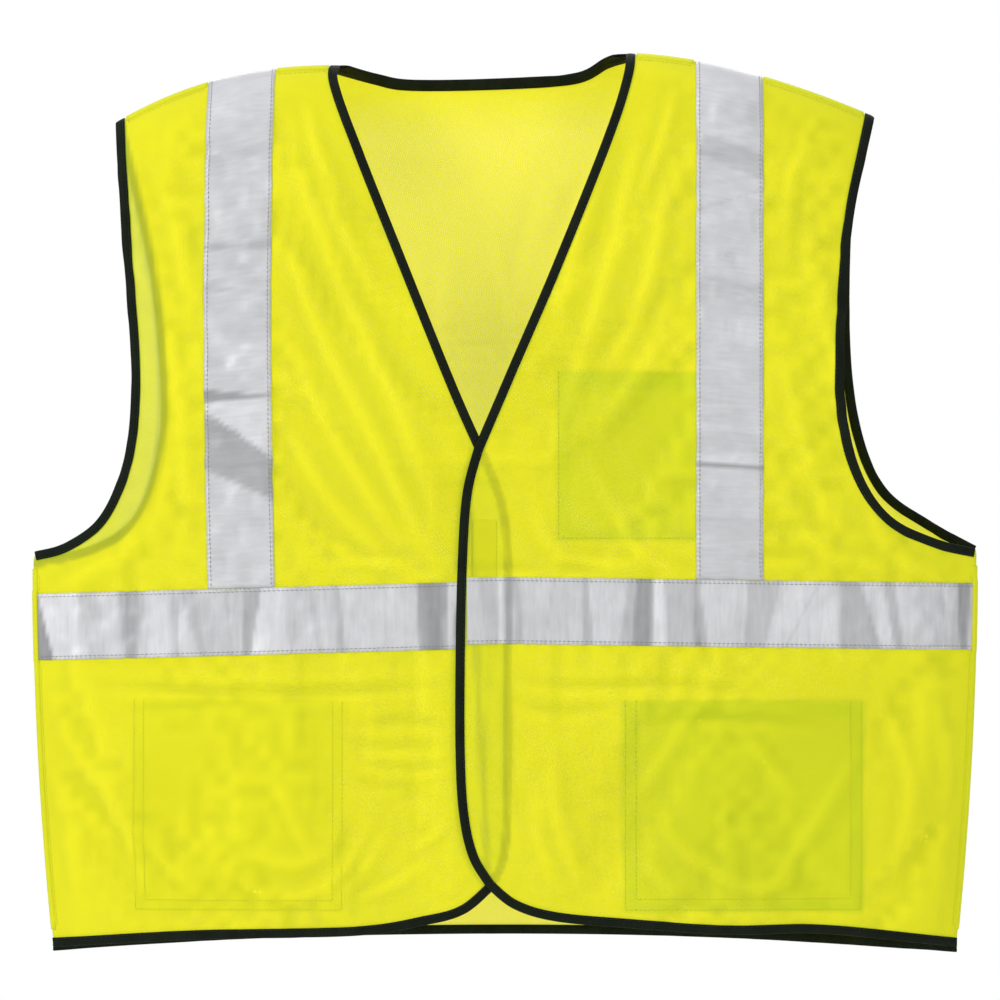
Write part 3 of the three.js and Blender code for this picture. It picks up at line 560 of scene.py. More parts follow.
class Nodes:
    """Short ways to add nodes to a tree and link them."""

    def __init__(self, tree):
        self.tree = tree

    def put(self, socket, value):
        if isinstance(value, bpy.types.NodeSocket):
            self.tree.links.new(value, socket)
        else:
            socket.default_value = value

    def math(self, operation, a, b=0.0, c=0.0, clamp=False):
        node = self.tree.nodes.new("ShaderNodeMath")
        node.operation, node.use_clamp = operation, clamp
        for socket, value in zip(node.inputs, (a, b, c)):
            self.put(socket, value)
        return node.outputs[0]

    def range(self, value, a, b, c=0.0, d=1.0, smooth=True):
        node = self.tree.nodes.new("ShaderNodeMapRange")
        node.interpolation_type = "SMOOTHSTEP" if smooth else "LINEAR"
        for socket, item in zip(node.inputs, (value, a, b, c, d)):
            self.put(socket, item)
        return node.outputs[0]

    def mix(self, share, a, b, blend="MIX"):
        node = self.tree.nodes.new("ShaderNodeMix")
        node.data_type, node.blend_type = "RGBA", blend
        self.put(node.inputs["Factor"], share)
        self.put(node.inputs[6], a)
        self.put(node.inputs[7], b)
        return node.outputs[2]

    def noise(self, vector, scale, detail=3.0, rough=0.55):
        node = self.tree.nodes.new("ShaderNodeTexNoise")
        self.put(node.inputs["Vector"], vector)
        node.inputs["Scale"].default_value = scale
        node.inputs["Detail"].default_value = detail
        node.inputs["Roughness"].default_value = rough
        return node.outputs[0]

    def attribute(self, name):
        node = self.tree.nodes.new("ShaderNodeAttribute")
        node.attribute_name = name
        return node.outputs["Fac"]

    def uv(self, layer="cut"):
        node = self.tree.nodes.new("ShaderNodeUVMap")
        node.uv_map = layer
        return node.outputs[0]

    def object_place(self):
        return self.tree.nodes.new("ShaderNodeTexCoord").outputs["Object"]

    def bump(self, height, strength, distance, normal=None):
        node = self.tree.nodes.new("ShaderNodeBump")
        node.inputs["Strength"].default_value = strength
        node.inputs["Distance"].default_value = distance
        self.put(node.inputs["Height"], height)
        if normal is not None:
            self.put(node.inputs["Normal"], normal)
        return node.outputs[0]

    def split(self, vector):
        node = self.tree.nodes.new("ShaderNodeSeparateXYZ")
        self.put(node.inputs[0], vector)
        return node.outputs

    def use(self, tree, **values):
        node = self.tree.nodes.new("ShaderNodeGroup")
        node.node_tree = tree
        for key, value in values.items():
            self.put(node.inputs[key], value)
        return node.outputs


FLOAT, VECTOR = "NodeSocketFloat", "NodeSocketVector"

knit, n, source, sink = group("Knit", [("Cut", VECTOR, None), ("Pitch", FLOAT, 0.0016), ("Hole", FLOAT, 0.62),
                                       ("Turn", FLOAT, 0.0)], [("Open", FLOAT), ("Height", FLOAT)])
drift = n.math("MULTIPLY", n.math("SUBTRACT", n.noise(source.outputs["Cut"], 45.0, 2.0), 0.5), 0.006)
u, v, _ = n.split(source.outputs["Cut"])
u, v = n.math("ADD", u, drift), n.math("SUBTRACT", v, drift)
cosine, sine = n.math("COSINE", source.outputs["Turn"]), n.math("SINE", source.outputs["Turn"])
u, v = (n.math("SUBTRACT", n.math("MULTIPLY", u, cosine), n.math("MULTIPLY", v, sine)),
        n.math("ADD", n.math("MULTIPLY", u, sine), n.math("MULTIPLY", v, cosine)))
cu = n.math("COSINE", n.math("DIVIDE", n.math("MULTIPLY", u, math.tau), source.outputs["Pitch"]))
cv = n.math("COSINE", n.math("DIVIDE", n.math("MULTIPLY", v, math.tau * 0.8), source.outputs["Pitch"]))
both = n.math("MULTIPLY", cu, cv)
n.put(sink.inputs["Open"], n.range(both, n.math("SUBTRACT", source.outputs["Hole"], 0.08),
                                   n.math("ADD", source.outputs["Hole"], 0.08)))
n.put(sink.inputs["Height"], n.math("SUBTRACT", 1.0, n.math("MULTIPLY", both, both)))

uneven, n, source, sink = group("Uneven", [("Place", VECTOR, None), ("Low", FLOAT, 0.97), ("High", FLOAT, 1.02),
                                           ("Scale", FLOAT, 14.0)], [("Factor", FLOAT), ("Fine", FLOAT)])
node = n.tree.nodes.new("ShaderNodeTexNoise")
n.put(node.inputs["Vector"], source.outputs["Place"])
n.put(node.inputs["Scale"], source.outputs["Scale"])
node.inputs["Detail"].default_value = 3.0
n.put(sink.inputs["Factor"], n.range(node.outputs[0], 0.3, 0.7, source.outputs["Low"],
                                     source.outputs["High"]))
n.put(sink.inputs["Fine"], n.noise(source.outputs["Place"], 260.0, 2.0))


def scaled(n, color, factor):
    """A colour times a number."""
    node = n.tree.nodes.new("ShaderNodeVectorMath")
    node.operation = "SCALE"
    n.put(node.inputs[0], color)
    n.put(node.inputs[3], factor)
    return node.outputs[0]


def new_material(name):
    made = bpy.data.materials.new(name)
    made.use_nodes = True
    made.node_tree.nodes.clear()
    shader = made.node_tree.nodes.new("ShaderNodeBsdfPrincipled")
    out = made.node_tree.nodes.new("ShaderNodeOutputMaterial")
    made.node_tree.links.new(shader.outputs[0], out.inputs["Surface"])
    return made, Nodes(made.node_tree), shader


# %% [markdown]
# ## Cloth
# Fluorescent lime polyester mesh. It is matt, lets a little of what is behind show through its holes, and
# looks brighter than a plain dye, so a weak glow is added; on the inner face that glow is stronger, as painted light.
# Where a second layer lies behind it, it is a little darker and greener, that layer's colour with painted shade: the
# `behind` mask holds where a pocket, binding or hem lies under it, and also paints shade by the right armhole.

# %% Cloth material
def cloth_material(name, color, hole, turn, inner_painted_glow):
    made, n, shader = new_material(name)
    weave = n.use(knit, Cut=n.uv(), Hole=hole, Turn=turn)
    soft = n.use(uneven, Place=n.object_place())
    # Darker and greener where another layer lies behind: that layer's own colour with painted shade added.
    base = n.mix(n.attribute("behind"), (*color, 1), (color[0] * 0.80, color[1] * 0.88, color[2] * 1.1, 1))
    base = n.mix(n.attribute("under"), base, (0.36, 0.28, 0.022, 1))
    # Painted shade in the bottoms of the folds and a painted highlight on their crests, from the shade mask.
    tone = n.math("SUBTRACT", soft["Factor"], n.math("MULTIPLY", n.attribute("shade"), 0.085))
    mottle = n.noise(n.object_place(), 420.0, 2.0, 0.6)
    tone = n.math("MULTIPLY", tone, n.range(mottle, 0.3, 0.7, 0.975, 1.025, False))
    base = scaled(n, base, tone)
    shader.inputs["Roughness"].default_value = 0.82
    shader.inputs["Specular IOR Level"].default_value = 0.15
    shader.inputs["Sheen Weight"].default_value = 0.06
    n.put(shader.inputs["Base Color"], base)
    # The glow: weak and green on the outer face for the fluorescent dye, stronger on the inner face as painted light.
    fluorescence_and_painted_glow = n.mix(n.attribute("inner"), (0.025, 0.165, 0.004, 1),
                 (0.34 * inner_painted_glow, 0.46 * inner_painted_glow, 0.02, 1))
    n.put(shader.inputs["Emission Color"], scaled(n, fluorescence_and_painted_glow, soft["Factor"]))
    shader.inputs["Emission Strength"].default_value = 1.0
    n.put(shader.inputs["Alpha"], n.math("SUBTRACT", 1.0, weave["Open"]))
    height = n.math("ADD", weave["Height"], n.math("MULTIPLY", soft["Fine"], 0.6))
    n.put(shader.inputs["Normal"], n.bump(height, 0.5, 0.00015))
    return made


LIME = (0.775, 0.61, 0.0105)
front_cloth = cloth_material("LimeMesh", LIME, 0.68, 0.0, 0.6)
back_cloth_material = cloth_material("LimeMeshBack", LIME, 0.80, 0.5, 0.68)

# %% [markdown]
# ## Tape, binding, closure and thread
# The tape is glass beads on cloth: grey, faintly metallic, with fine crumples, and darker bands of painted shade
# where it bends away. The binding is a black ribbed ribbon. The closure is a short pile, and the thread is twisted.

# %% Other materials
silver, n, shader = new_material("SilverTape")
here = n.object_place()
soft = n.use(uneven, Place=here, Low=0.94, High=1.04, Scale=30.0)
run, across, _ = n.split(n.uv())
streak_place = n.tree.nodes.new("ShaderNodeCombineXYZ")
n.put(streak_place.inputs[0], n.math("MULTIPLY", run, 420.0))
n.put(streak_place.inputs[1], n.math("MULTIPLY", across, 45.0))
streaks = n.noise(streak_place.outputs[0], 1.0, 3.0, 0.6)
crumple = n.noise(here, 55.0, 4.0, 0.5)
grain = n.noise(here, 900.0, 2.0)
rim = n.range(n.math("ABSOLUTE", across), 0.0205, 0.0240)
# Puckers at the stitched rims: a bump, and also painted lighter and darker along the rim as painted shade.
pucker_relief_and_shade = n.math("SINE", n.math("ADD", n.math("MULTIPLY", run, math.tau / 0.0034),
                               n.math("MULTIPLY", crumple, 9.0)))
pucker_relief_and_shade = n.math("MULTIPLY", n.math("MULTIPLY", rim, pucker_relief_and_shade), n.range(crumple, 0.35, 0.6))
# Painted shade in the creases and on the darker faces, a painted highlight on the lighter ones, from the shade mask.
tone = n.math("SUBTRACT", 1.07, n.math("MULTIPLY", n.attribute("shade"), 0.52))
tone = n.math("MULTIPLY", tone, n.range(streaks, 0.3, 0.7, 0.95, 1.05, False))
tone = n.math("MULTIPLY", tone, n.range(crumple, 0.3, 0.7, 0.97, 1.03))
tone = n.math("MULTIPLY", tone, n.math("ADD", soft["Factor"], n.math("MULTIPLY", pucker_relief_and_shade, 0.10)))
n.put(shader.inputs["Base Color"], scaled(n, (0.565, 0.568, 0.59), tone))
shader.inputs["Metallic"].default_value = 0.15
n.put(shader.inputs["Roughness"], n.range(grain, 0.3, 0.7, 0.42, 0.54))
shader.inputs["Specular IOR Level"].default_value = 0.35
height = n.math("ADD", n.math("MULTIPLY", streaks, 0.5), n.math("MULTIPLY", pucker_relief_and_shade, 0.35))
first = n.bump(n.math("ADD", height, n.math("MULTIPLY", crumple, 0.6)), 0.35, 0.0008)
n.put(shader.inputs["Normal"], n.bump(grain, 0.25, 0.0001, first))

black, n, shader = new_material("BlackBinding")
here = n.uv()
along, across, _ = n.split(here)
ribs = n.math("SINE", n.math("MULTIPLY", along, math.tau / 0.0011))
soft = n.use(uneven, Place=n.object_place(), Low=0.8, High=1.25, Scale=60.0)
n.put(shader.inputs["Base Color"], scaled(n, (0.0055, 0.0095, 0.0045), soft["Factor"]))
n.put(shader.inputs["Roughness"], n.range(ribs, -1.0, 1.0, 0.6, 0.8))
shader.inputs["Specular IOR Level"].default_value = 0.12
n.put(shader.inputs["Normal"], n.bump(n.math("ADD", ribs, soft["Fine"]), 0.5, 0.00012))


def pile_material(name, color, depth):
    made, n, shader = new_material(name)
    here = n.object_place()
    tufts = n.noise(here, 1400.0, 2.0)
    soft = n.use(uneven, Place=here, Scale=40.0)
    n.put(shader.inputs["Base Color"], n.mix(tufts, (color[0] * 0.7, color[1] * 0.75, color[2], 1),
                                             (*color, 1)))
    n.put(shader.inputs["Roughness"], n.math("MULTIPLY", soft["Factor"], 0.9))
    shader.inputs["Sheen Weight"].default_value = 0.3
    n.put(shader.inputs["Normal"], n.bump(tufts, 0.8, depth))
    return made


loop_pile = pile_material("LoopPile", (0.80, 0.78, 0.05), 0.0006)
hook_pile = pile_material("HookPile", (0.72, 0.74, 0.06), 0.0003)


def thread_material(name, color):
    made, n, shader = new_material(name)
    here = n.object_place()
    twist = n.noise(here, 3000.0, 1.0)
    n.put(shader.inputs["Base Color"], n.mix(twist, tuple(c * 0.75 for c in color) + (1,), (*color, 1)))
    n.put(shader.inputs["Roughness"], n.use(uneven, Place=here, Low=0.5, High=0.65)["Factor"])
    n.put(shader.inputs["Normal"], n.bump(twist, 0.4, 0.0001))
    return made


grey_thread = thread_material("GreyThread", (0.33, 0.34, 0.35))
lime_thread = thread_material("LimeThread", (0.62, 0.62, 0.02))
black_thread = thread_material("BlackThread", (0.012, 0.014, 0.012))

# %% [markdown]
# ## The panels
# Each panel is a grid between four sides. Rows run from the inner side to the outer side, evenly spaced on
# the cloth along the outer one. A row's bow follows the hem at the bottom and the shoulder at the top.

# %% Panel grid
def bow(line):
    """How far a line's points stand off the straight line between its ends."""
    share = np.linspace(0, 1, len(line))[:, None]
    return line - (line[0] * (1 - share) + line[-1] * share)


def panel_grid(inner, seam, armhole, bottom, top, under_inner):
    """Rows from hem to shoulder: straight between the two sides, plus the bottom's or the top's bow."""
    outer_line = np.vstack([seam, armhole[1:]])
    outer = evenly(outer_line, GRID)
    run = np.linspace(0, lengths(outer_line)[-1], len(outer))
    seam_share = lengths(seam)[-1]
    inner_run = lengths(inner)
    inner_v = flat_place(inner[:, 0], inner[:, 1])[1]
    outer_v = flat_place(outer[:, 0], outer[:, 1])[1]
    under_v = outer_v[np.argmin(np.abs(run - seam_share))]
    low = run <= seam_share
    target = np.where(low, inner_v[0] + (under_inner - inner_v[0]) * (outer_v - outer_v[0]) / (under_v - outer_v[0]),
                      under_inner + (inner_v[-1] - under_inner) * (outer_v - under_v) / (outer_v[-1] - under_v))
    order = np.maximum.accumulate(inner_v)
    inner = resample(inner, np.interp(target, order + np.arange(len(order)) * 1e-12, inner_run))
    columns = len(bottom)
    share = np.linspace(0, 1, columns)[None, :, None]
    first_turn = np.argmin(np.abs((ridge(outer[:, 0]) - outer[:, 1]) - SHOULDER_ROUND))
    rise = smoothstep(np.arange(len(outer)), np.sum(low) - 1, max(first_turn, np.sum(low) + 1))[:, None, None]
    grid = inner[:, None] * (1 - share) + outer[:, None] * share
    grid = grid + bow(bottom)[None] * (1 - rise) + bow(top)[None] * rise
    return grid[..., 0], grid[..., 1]


def ridge_line(x0, x1, count):
    x = np.linspace(x0, x1, count)
    return np.stack([x, ridge(x)], -1)


def spread(line, count):
    """A line as a number of evenly spaced points."""
    return resample(line, np.linspace(0, lengths(line)[-1], count))


FRONT_COLUMNS = 90
left_side = seam_line(left_hem[-1], left_armhole[0])
right_side = seam_line(right_hem[-1], right_armhole[0])
left_inner = np.vstack([left_edge[::-1], left_neckline[::-1][1:]])
right_inner = np.vstack([right_edge[::-1], right_neckline[::-1][1:]])
LX, LZ = panel_grid(left_inner, left_side, left_armhole, spread(left_hem, FRONT_COLUMNS),
                    ridge_line(0.0945, 0.274, FRONT_COLUMNS), -0.371)
RX, RZ = panel_grid(right_inner, right_side, right_armhole, spread(right_hem, FRONT_COLUMNS),
                    ridge_line(-0.1275, -0.289, FRONT_COLUMNS), -0.3735)
SHOULDER_COLUMNS, NECK_COLUMNS = 42, 50
back_top = np.vstack([ridge_line(-0.289, -0.1275, SHOULDER_COLUMNS), spread(back_neck, NECK_COLUMNS)[1:-1],
                      ridge_line(0.0945, 0.274, SHOULDER_COLUMNS)])
back_left = seam_line(back_hem[-1], left_armhole_back[0])
back_right = seam_line(back_hem[0], right_armhole_back[0])
BX, BZ = panel_grid(np.vstack([back_right, right_armhole_back[1:]]), back_left, left_armhole_back,
                    spread(back_hem, len(back_top)), back_top,
                    flat_place(right_armhole_back[:1, 0], right_armhole_back[:1, 1])[1][0])
print("grids", LX.shape, RX.shape, BX.shape)

# %% [markdown]
# What lies behind each front, as masks from 0 to 1: the pockets' double layer, the sewn double lines at their
# edges, the right front's bound edge under the left one, and the back's armhole binding. The first mask also
# paints shade, and paints it by the right armhole where no back lies behind; the last is the folds' painted shade.

# %% Masks
POCKETS = {
    "chest_pocket": dict(x=(0.038, 0.187), top=-0.235, bottom=-0.362),
    "left_lower_pocket": dict(x=(0.088, 0.268), top=-0.481, bottom=-0.640),
    "right_lower_pocket": dict(x=(-0.279, -0.120), top=-0.481, bottom=-0.640),
}


def inside_box(X, Z, x, z, soft=0.0015):
    across = smoothstep(X, x[0] - soft, x[0] + soft) * (1 - smoothstep(X, x[1] - soft, x[1] + soft))
    return across * smoothstep(Z, z[0] - soft, z[0] + soft) * (1 - smoothstep(Z, z[1] - soft, z[1] + soft))


def pocket_mask(X, Z, names):
    """1 where a pocket's cloth lies behind, and a little more along its turned-in edges."""
    total = np.zeros(X.shape)
    for name in names:
        box = POCKETS[name]
        whole = inside_box(X, Z, box["x"], (box["bottom"], box["top"]))
        middle = inside_box(X, Z, (box["x"][0] + 0.012, box["x"][1] - 0.010),
                            (box["bottom"] + 0.008, box["top"] - 0.014))
        total = np.maximum(total, whole * (1.0 - 0.35 * middle))
    return total


def under_mask(X, Z, line, half=0.0035):
    return 1 - smoothstep(distance_to(line, X, Z), half * 0.6, half * 1.3)


inside_right = (np.interp(LZ, right_edge[::-1, 1], right_edge[::-1, 0]) > LX) & (LZ < -0.305)
arm_x = np.interp(RZ, right_armhole_back[:, 1], right_armhole_back[:, 0])
# Painted shade on the right front where it reaches past the back's armhole, with no back behind it.
single_layer_painted_shade = (1 - smoothstep(RX, arm_x - 0.004, arm_x + 0.004)) * smoothstep(RZ, -0.380, -0.376)
left_masks = {
    "behind": np.maximum(pocket_mask(LX, LZ, ["chest_pocket", "left_lower_pocket"]), 0.35 * inside_right),
    "under": np.maximum(0.5 * under_mask(LX, LZ, np.vstack([right_edge, right_neckline[-30:]]), 0.0028),
                        0.8 * under_mask(LX, LZ, left_armhole_back)),
    "shade": sample(front_fold_painted_shading, LX, LZ),
}
right_masks = {
    "behind": np.maximum(0.4 * np.clip(pocket_mask(RX, RZ, ["right_lower_pocket"]) - 0.6, 0, 1), 0.6 * single_layer_painted_shade),
    "under": 0.75 * under_mask(RX, RZ, right_armhole_back),
    "shade": sample(front_fold_painted_shading, RX, RZ),
}
back_masks = {"behind": np.zeros(BX.shape), "under": np.zeros(BX.shape), "shade": sample(back_fold_painted_shading, BX, BZ)}

# %% Panels
left_front = shell("left_front_cloth", LX, LZ, FRONT, -FABRIC / 2, FABRIC / 2, front_cloth, True, left_masks)
right_front = shell("right_front_cloth", RX, RZ, FRONT, -FABRIC / 2, FABRIC / 2, front_cloth, False,
                    right_masks)
back_cloth = shell("back_cloth", BX, BZ, BACK, -FABRIC / 2, FABRIC / 2, back_cloth_material,
                   False, back_masks)
for made in (left_front, right_front, back_cloth):
    print(made.name, len(made.data.polygons), "faces, area", round(area_of(made), 4))

# %% [markdown]
# ## The tapes
# Two inch tape, sewn flat on the outside: one length round the waist in three parts, and one length over
# each shoulder from the front waist tape to the back one. The `shade` mask paints shade into its creases and
# on its darker faces, and a painted highlight on its lighter ones.

# %% Tapes
TAPE_ACROSS = 17


# Crushed tape turns its beads in flat faces that catch the light unevenly; each is painted lighter (a painted
# highlight) or darker (painted shade). A facet runs across the tape between two creases: (first edge at
# one rim, second edge there, both at the other rim, tone), 1 is darkest and below 0 is lighter.
WAIST_PAINTED_SHADE = [
    (-355, -351, -354, -338, 1.0), (-351, -320, -338, -318, -0.3), (-319, -304, -311, -298, 0.25),
    (-290, -268, -284, -274, 0.45), (-284, -274, -282, -276, 0.3), (-265, -250, -266, -251, -0.25),
    (-250, -246, -248, -242, 0.3), (-245, -243, -244, -226, -0.22), (-245, -232, -229, -224, 0.35),
    (-232, -199, -224, -199, 0.12), (-197, -182, -196, -190, 0.6), (-182, -165, -190, -161, -0.3),
    (-148, -143, -140, -136, 0.25), (-128, -124, -125, -119, 0.4), (-122, -68, -119, -66, -0.12),
    (-66, -43, -64, -44, 0.75), (-60, -48, -58, -48, 0.2), (-42, -35, -42, -35, -0.2),
    (-20, -7, -15, -4, 0.3), (-4.5, -1.5, -4.5, -1.5, -0.4), (-0.7, 6.7, 0, 5.3, 0.8), (6.7, 11, 6.7, 13, 0.35),
    (36, 37.5, 28.5, 30, 0.35), (58, 62, 59, 67, 0.5), (92, 98, 86, 95, 0.4), (98, 110, 95, 109.5, 0.9),
    (111, 119, 110, 120, -0.35), (119, 139, 122, 146, 0.35), (140, 145, 142, 152, 0.5),
    (182, 206, 178, 194, 0.4), (208, 248, 199, 248, -0.15), (234, 236, 208, 211, 0.25), (250, 265, 250, 281, 0.5),
    (268, 278, 283, 293, -0.2), (283, 290, 291, 298, 0.5), (332, 340, 335, 342, 0.25), (339, 349, 341, 347, 0.8),
]
BACK_PAINTED_SHADE = [(x, x + w, x + s, x + s + w * r, t) for x, w, s, r, t in zip(
    np.arange(-350, 340, 23), draw.uniform(6, 22, 30), draw.uniform(-8, 8, 30), draw.uniform(0.6, 1.4, 30),
    draw.uniform(-0.3, 0.7, 30))]
SHOULDER_PAINTED_SHADE = {
    "left_shoulder_tape": [(-72, -55, -92, -73, 0.3), (-116, -114, -100, -98, 0.25), (-190, -161, -196, -170, 0.16),
                           (-306, -303, -310, -307, 0.9), (-303, -296, -306, -298, -0.2), (-400, -366, -400, -373, 0.15)],
    "right_shoulder_tape": [(-145, -140, -143, -136, 0.4), (-258, -249, -255, -253.5, 0.85),
                            (-265, -259, -297, -256, -0.25), (-309, -265, -331, -300, 0.65), (-174, -171, -178, -176, 0.25),
                            (-80, -62, -70, -66, 0.12)],
}
for painted_shade_list in SHOULDER_PAINTED_SHADE.values():
    painted_shade_list += [(z, z + w, z + s, z + s + w, t) for z, w, s, t in zip(
        np.arange(-390, -20, 7.5) + draw.uniform(-3, 3, 50), draw.uniform(0.8, 4, 50), draw.uniform(-9, 9, 50),
        draw.uniform(-0.16, 0.16, 50))]
WAIST_PAINTED_SHADE += [(x, x + w, x + s, x + s + w, t) for x, w, s, t in zip(
    np.arange(-350, 345, 7) + draw.uniform(-3, 3, 100), draw.uniform(0.6, 3, 100), draw.uniform(-5, 5, 100),
    draw.uniform(-0.15, 0.18, 100))]


def facet_painted_shade(listed, along, across, soft=0.0011):
    """Painted shade and highlight of each point: the sum of the listed tones that it lies in, each with slightly soft
    edges.
    """
    total = np.zeros(np.shape(along))
    for a0, b0, a1, b1, tone in listed:
        a, b = (a0 + (a1 - a0) * across) / 1000, (b0 + (b1 - b0) * across) / 1000
        total += tone * smoothstep(along, a - soft, a + soft) * (1 - smoothstep(along, b - soft, b + soft))
    return np.clip(total, -0.5, 1.1)


def pucker(along, across):
    """The stitched rim is drawn in and out a little at each stitch, by up to a third of a millimetre."""
    near = smoothstep(np.abs(across), TAPE_WIDTH / 2 - 0.005, TAPE_WIDTH / 2)
    wave = np.sin(along * math.tau / 0.0034 + 2 * np.sin(along * 90)) * (0.6 + 0.4 * np.sin(along * 37))
    return 0.00028 * near * wave * np.sign(across)


def waist_tape(name, x0, x1, side, lapped):
    x = np.linspace(x0, x1, max(8, round(abs(x1 - x0) / 0.0025)))
    across = np.linspace(-0.5, 0.5, TAPE_ACROSS)
    X = np.broadcast_to(x, (TAPE_ACROSS, len(x)))
    middle = waist_z(X, side, lapped)
    Z = middle + TAPE_WIDTH * across[:, None]
    puckered = pucker(X, across[:, None] * TAPE_WIDTH)
    # Painted shade and highlight across the tape, one tone for each facet that a point lies in.
    shade = facet_painted_shade(WAIST_PAINTED_SHADE if side == FRONT else BACK_PAINTED_SHADE, X, 0.5 - across[:, None] + 0 * X)
    return shell_between(name, place(X, Z + puckered, side, TAPE_OUT, lapped),
                         place(X, Z + puckered, side, TAPE_OUT + TAPE, lapped),
                         (X, Z - middle), silver, {"shade": shade})


def shoulder_tape(name, centre, bend):
    """Columns across the tape; rows up the front, over the ridge and down the back, evenly spaced."""
    x = centre + TAPE_WIDTH * np.linspace(-0.5, 0.5, TAPE_ACROSS)
    halves = []
    for side in (FRONT, BACK):
        foot = waist_z(x, side) + TAPE_WIDTH / 2 + 0.0003
        t = np.linspace(0, 1, 130)[:, None]
        straight = ridge(x) - SHOULDER_ROUND - foot
        v = t * (straight + 0.0829)
        turn = np.clip(v - straight, 0, 0.0829)
        angle = np.linspace(0, math.pi / 2, 200)
        step = np.hypot(SHOULDER_ROUND * np.cos(angle[1:]),
                        HALF_DEPTH * np.sin(angle[1:])) * (angle[1] - angle[0])
        run = np.concatenate([[0], np.cumsum(step)])
        Z = foot + np.minimum(v, straight) + SHOULDER_ROUND * np.sin(np.interp(turn * run[-1] / 0.0829, run, angle))
        X = np.broadcast_to(x, Z.shape) + bend * np.sin(math.pi * t) * (1 if side == FRONT else 0)
        halves.append((X, Z, side))
    halves = [(X + pucker(Z, x - centre + 0 * Z), Z, side) for X, Z, side in halves]
    inner = [place(X, Z, side, TAPE_OUT) for X, Z, side in halves]
    outer = [place(X, Z, side, TAPE_OUT + TAPE) for X, Z, side in halves]
    listed = SHOULDER_PAINTED_SHADE[name]
    # Painted shade and highlight on the tape, weaker on its back half.
    shade = [facet_painted_shade(listed, Z, (X[0] - x[0]) / TAPE_WIDTH + 0 * Z) * (1 if side == FRONT else 0.8)
             for X, Z, side in halves]

    def join(pair):
        return np.concatenate([pair[0], pair[1][::-1][1:]])

    rows = len(halves[0][0]) * 2 - 1
    flat = (np.broadcast_to(np.arange(rows)[:, None] * 0.0032, (rows, TAPE_ACROSS)),
            np.broadcast_to(x - centre, (rows, TAPE_ACROSS)))
    return shell_between(name, join(inner), join(outer), flat, silver, {"shade": join(shade)})


seam_x = HALF_CHEST - 0.0015
left_start = np.interp(-0.414, left_edge[::-1, 1], left_edge[::-1, 0]) + 0.0045
left_waist = waist_tape("left_waist_tape", left_start, seam_x, FRONT, True)
right_waist = waist_tape("right_waist_tape", -0.0265, -seam_x, FRONT, False)
back_waist = waist_tape("back_waist_tape", -seam_x, seam_x, BACK, False)
left_shoulder = shoulder_tape("left_shoulder_tape", LEFT_TAPE_X, 0.0)
right_shoulder = shoulder_tape("right_shoulder_tape", RIGHT_TAPE_X, -0.003)

# %% [markdown]
# ## The binding
# A ribbon folded over the raw edge and sewn through. Its section is a rounded U, carried along the edge:
# at each step the section stands across the edge, in the cloth's own surface, so it turns with the cloth.

# %% Binding
LIP = 0.0035
SLOT = FABRIC / 2 + 0.00035
THICK = 0.0006
angle = np.linspace(-math.pi / 2, math.pi / 2, 7)
outer_arc = np.stack([-LIP + 0.0012 - 0.0012 * np.cos(angle), (SLOT + THICK) * np.sin(angle)], -1)
SECTION = np.vstack([[(LIP, -SLOT - THICK * 0.9), (0.0, -SLOT - THICK * 1.15)], outer_arc,
                     [(0.0, SLOT + THICK * 1.15), (LIP, SLOT + THICK * 0.9), (LIP, SLOT), (-LIP + 0.0008, SLOT * 0.9),
                      (-LIP + 0.0008, -SLOT * 0.9), (LIP, -SLOT)]])


def edge_run(line, turn, side, lapped=False, step=0.0025):
    """Steps along an edge: the point, the side, and the direction into the cloth, a quarter turn from the run."""
    points = evenly(line, step)
    run = np.gradient(points, axis=0)
    run /= np.linalg.norm(run, axis=1, keepdims=True)
    return points, np.stack([-run[:, 1], run[:, 0]], -1) * turn, side


def bind(name, *runs, lapped=False, section=SECTION):
    """Sweeps the U section along one or more edge runs that follow each other."""
    rings, total = [], 0.0
    for points, inward, side in runs:
        a, out = section[:, 0][None, :], section[:, 1][None, :]
        x = points[:, :1] + inward[:, :1] * a
        z = points[:, 1:] + inward[:, 1:] * a
        near = 1 - np.clip((ridge(points[:, :1]) - points[:, 1:]) / SHOULDER_ROUND, 0, 1)
        z = z + (ridge(x) - ridge(points[:, :1])) * near
        rings.append(place(x, z, side, np.broadcast_to(out, x.shape), lapped))
    rings = np.concatenate(rings)
    count, size = rings.shape[:2]
    along = np.concatenate([[0], np.cumsum(np.linalg.norm(np.diff(rings.mean(1), axis=0), axis=1))])
    k = np.arange(count - 1)[:, None] * size
    i = np.arange(size)[None, :]
    j = (i + 1) % size
    quads = np.stack([k + i, k + j, k + size + j, k + size + i], -1).reshape(-1, 4)
    verts = rings.reshape(-1, 3)
    centre = np.repeat(rings.mean(1), size, 0)
    a, b, c, d = (verts[quads[:, m]] for m in range(4))
    if np.sum(np.einsum("ij,ij->i", np.cross(c - a, d - b), (a + c) / 2 - centre[quads[:, 0]])) < 0:
        quads = quads[:, ::-1]
    half = size // 2
    caps = []
    for start, flip in ((0, False), ((count - 1) * size, True)):
        ring = np.arange(size)
        cap = np.stack([ring[:half - 1], ring[1:half], size - 1 - ring[1:half], size - 1 - ring[:half - 1]], -1) + start
        caps.append(cap[:, ::-1] if flip else cap)
    quads = np.vstack([quads] + caps)
    uv = np.stack([np.repeat(along, size), np.tile(np.arange(size) / size, count)], -1)
    return solid(name, verts, quads, black, True, uv)


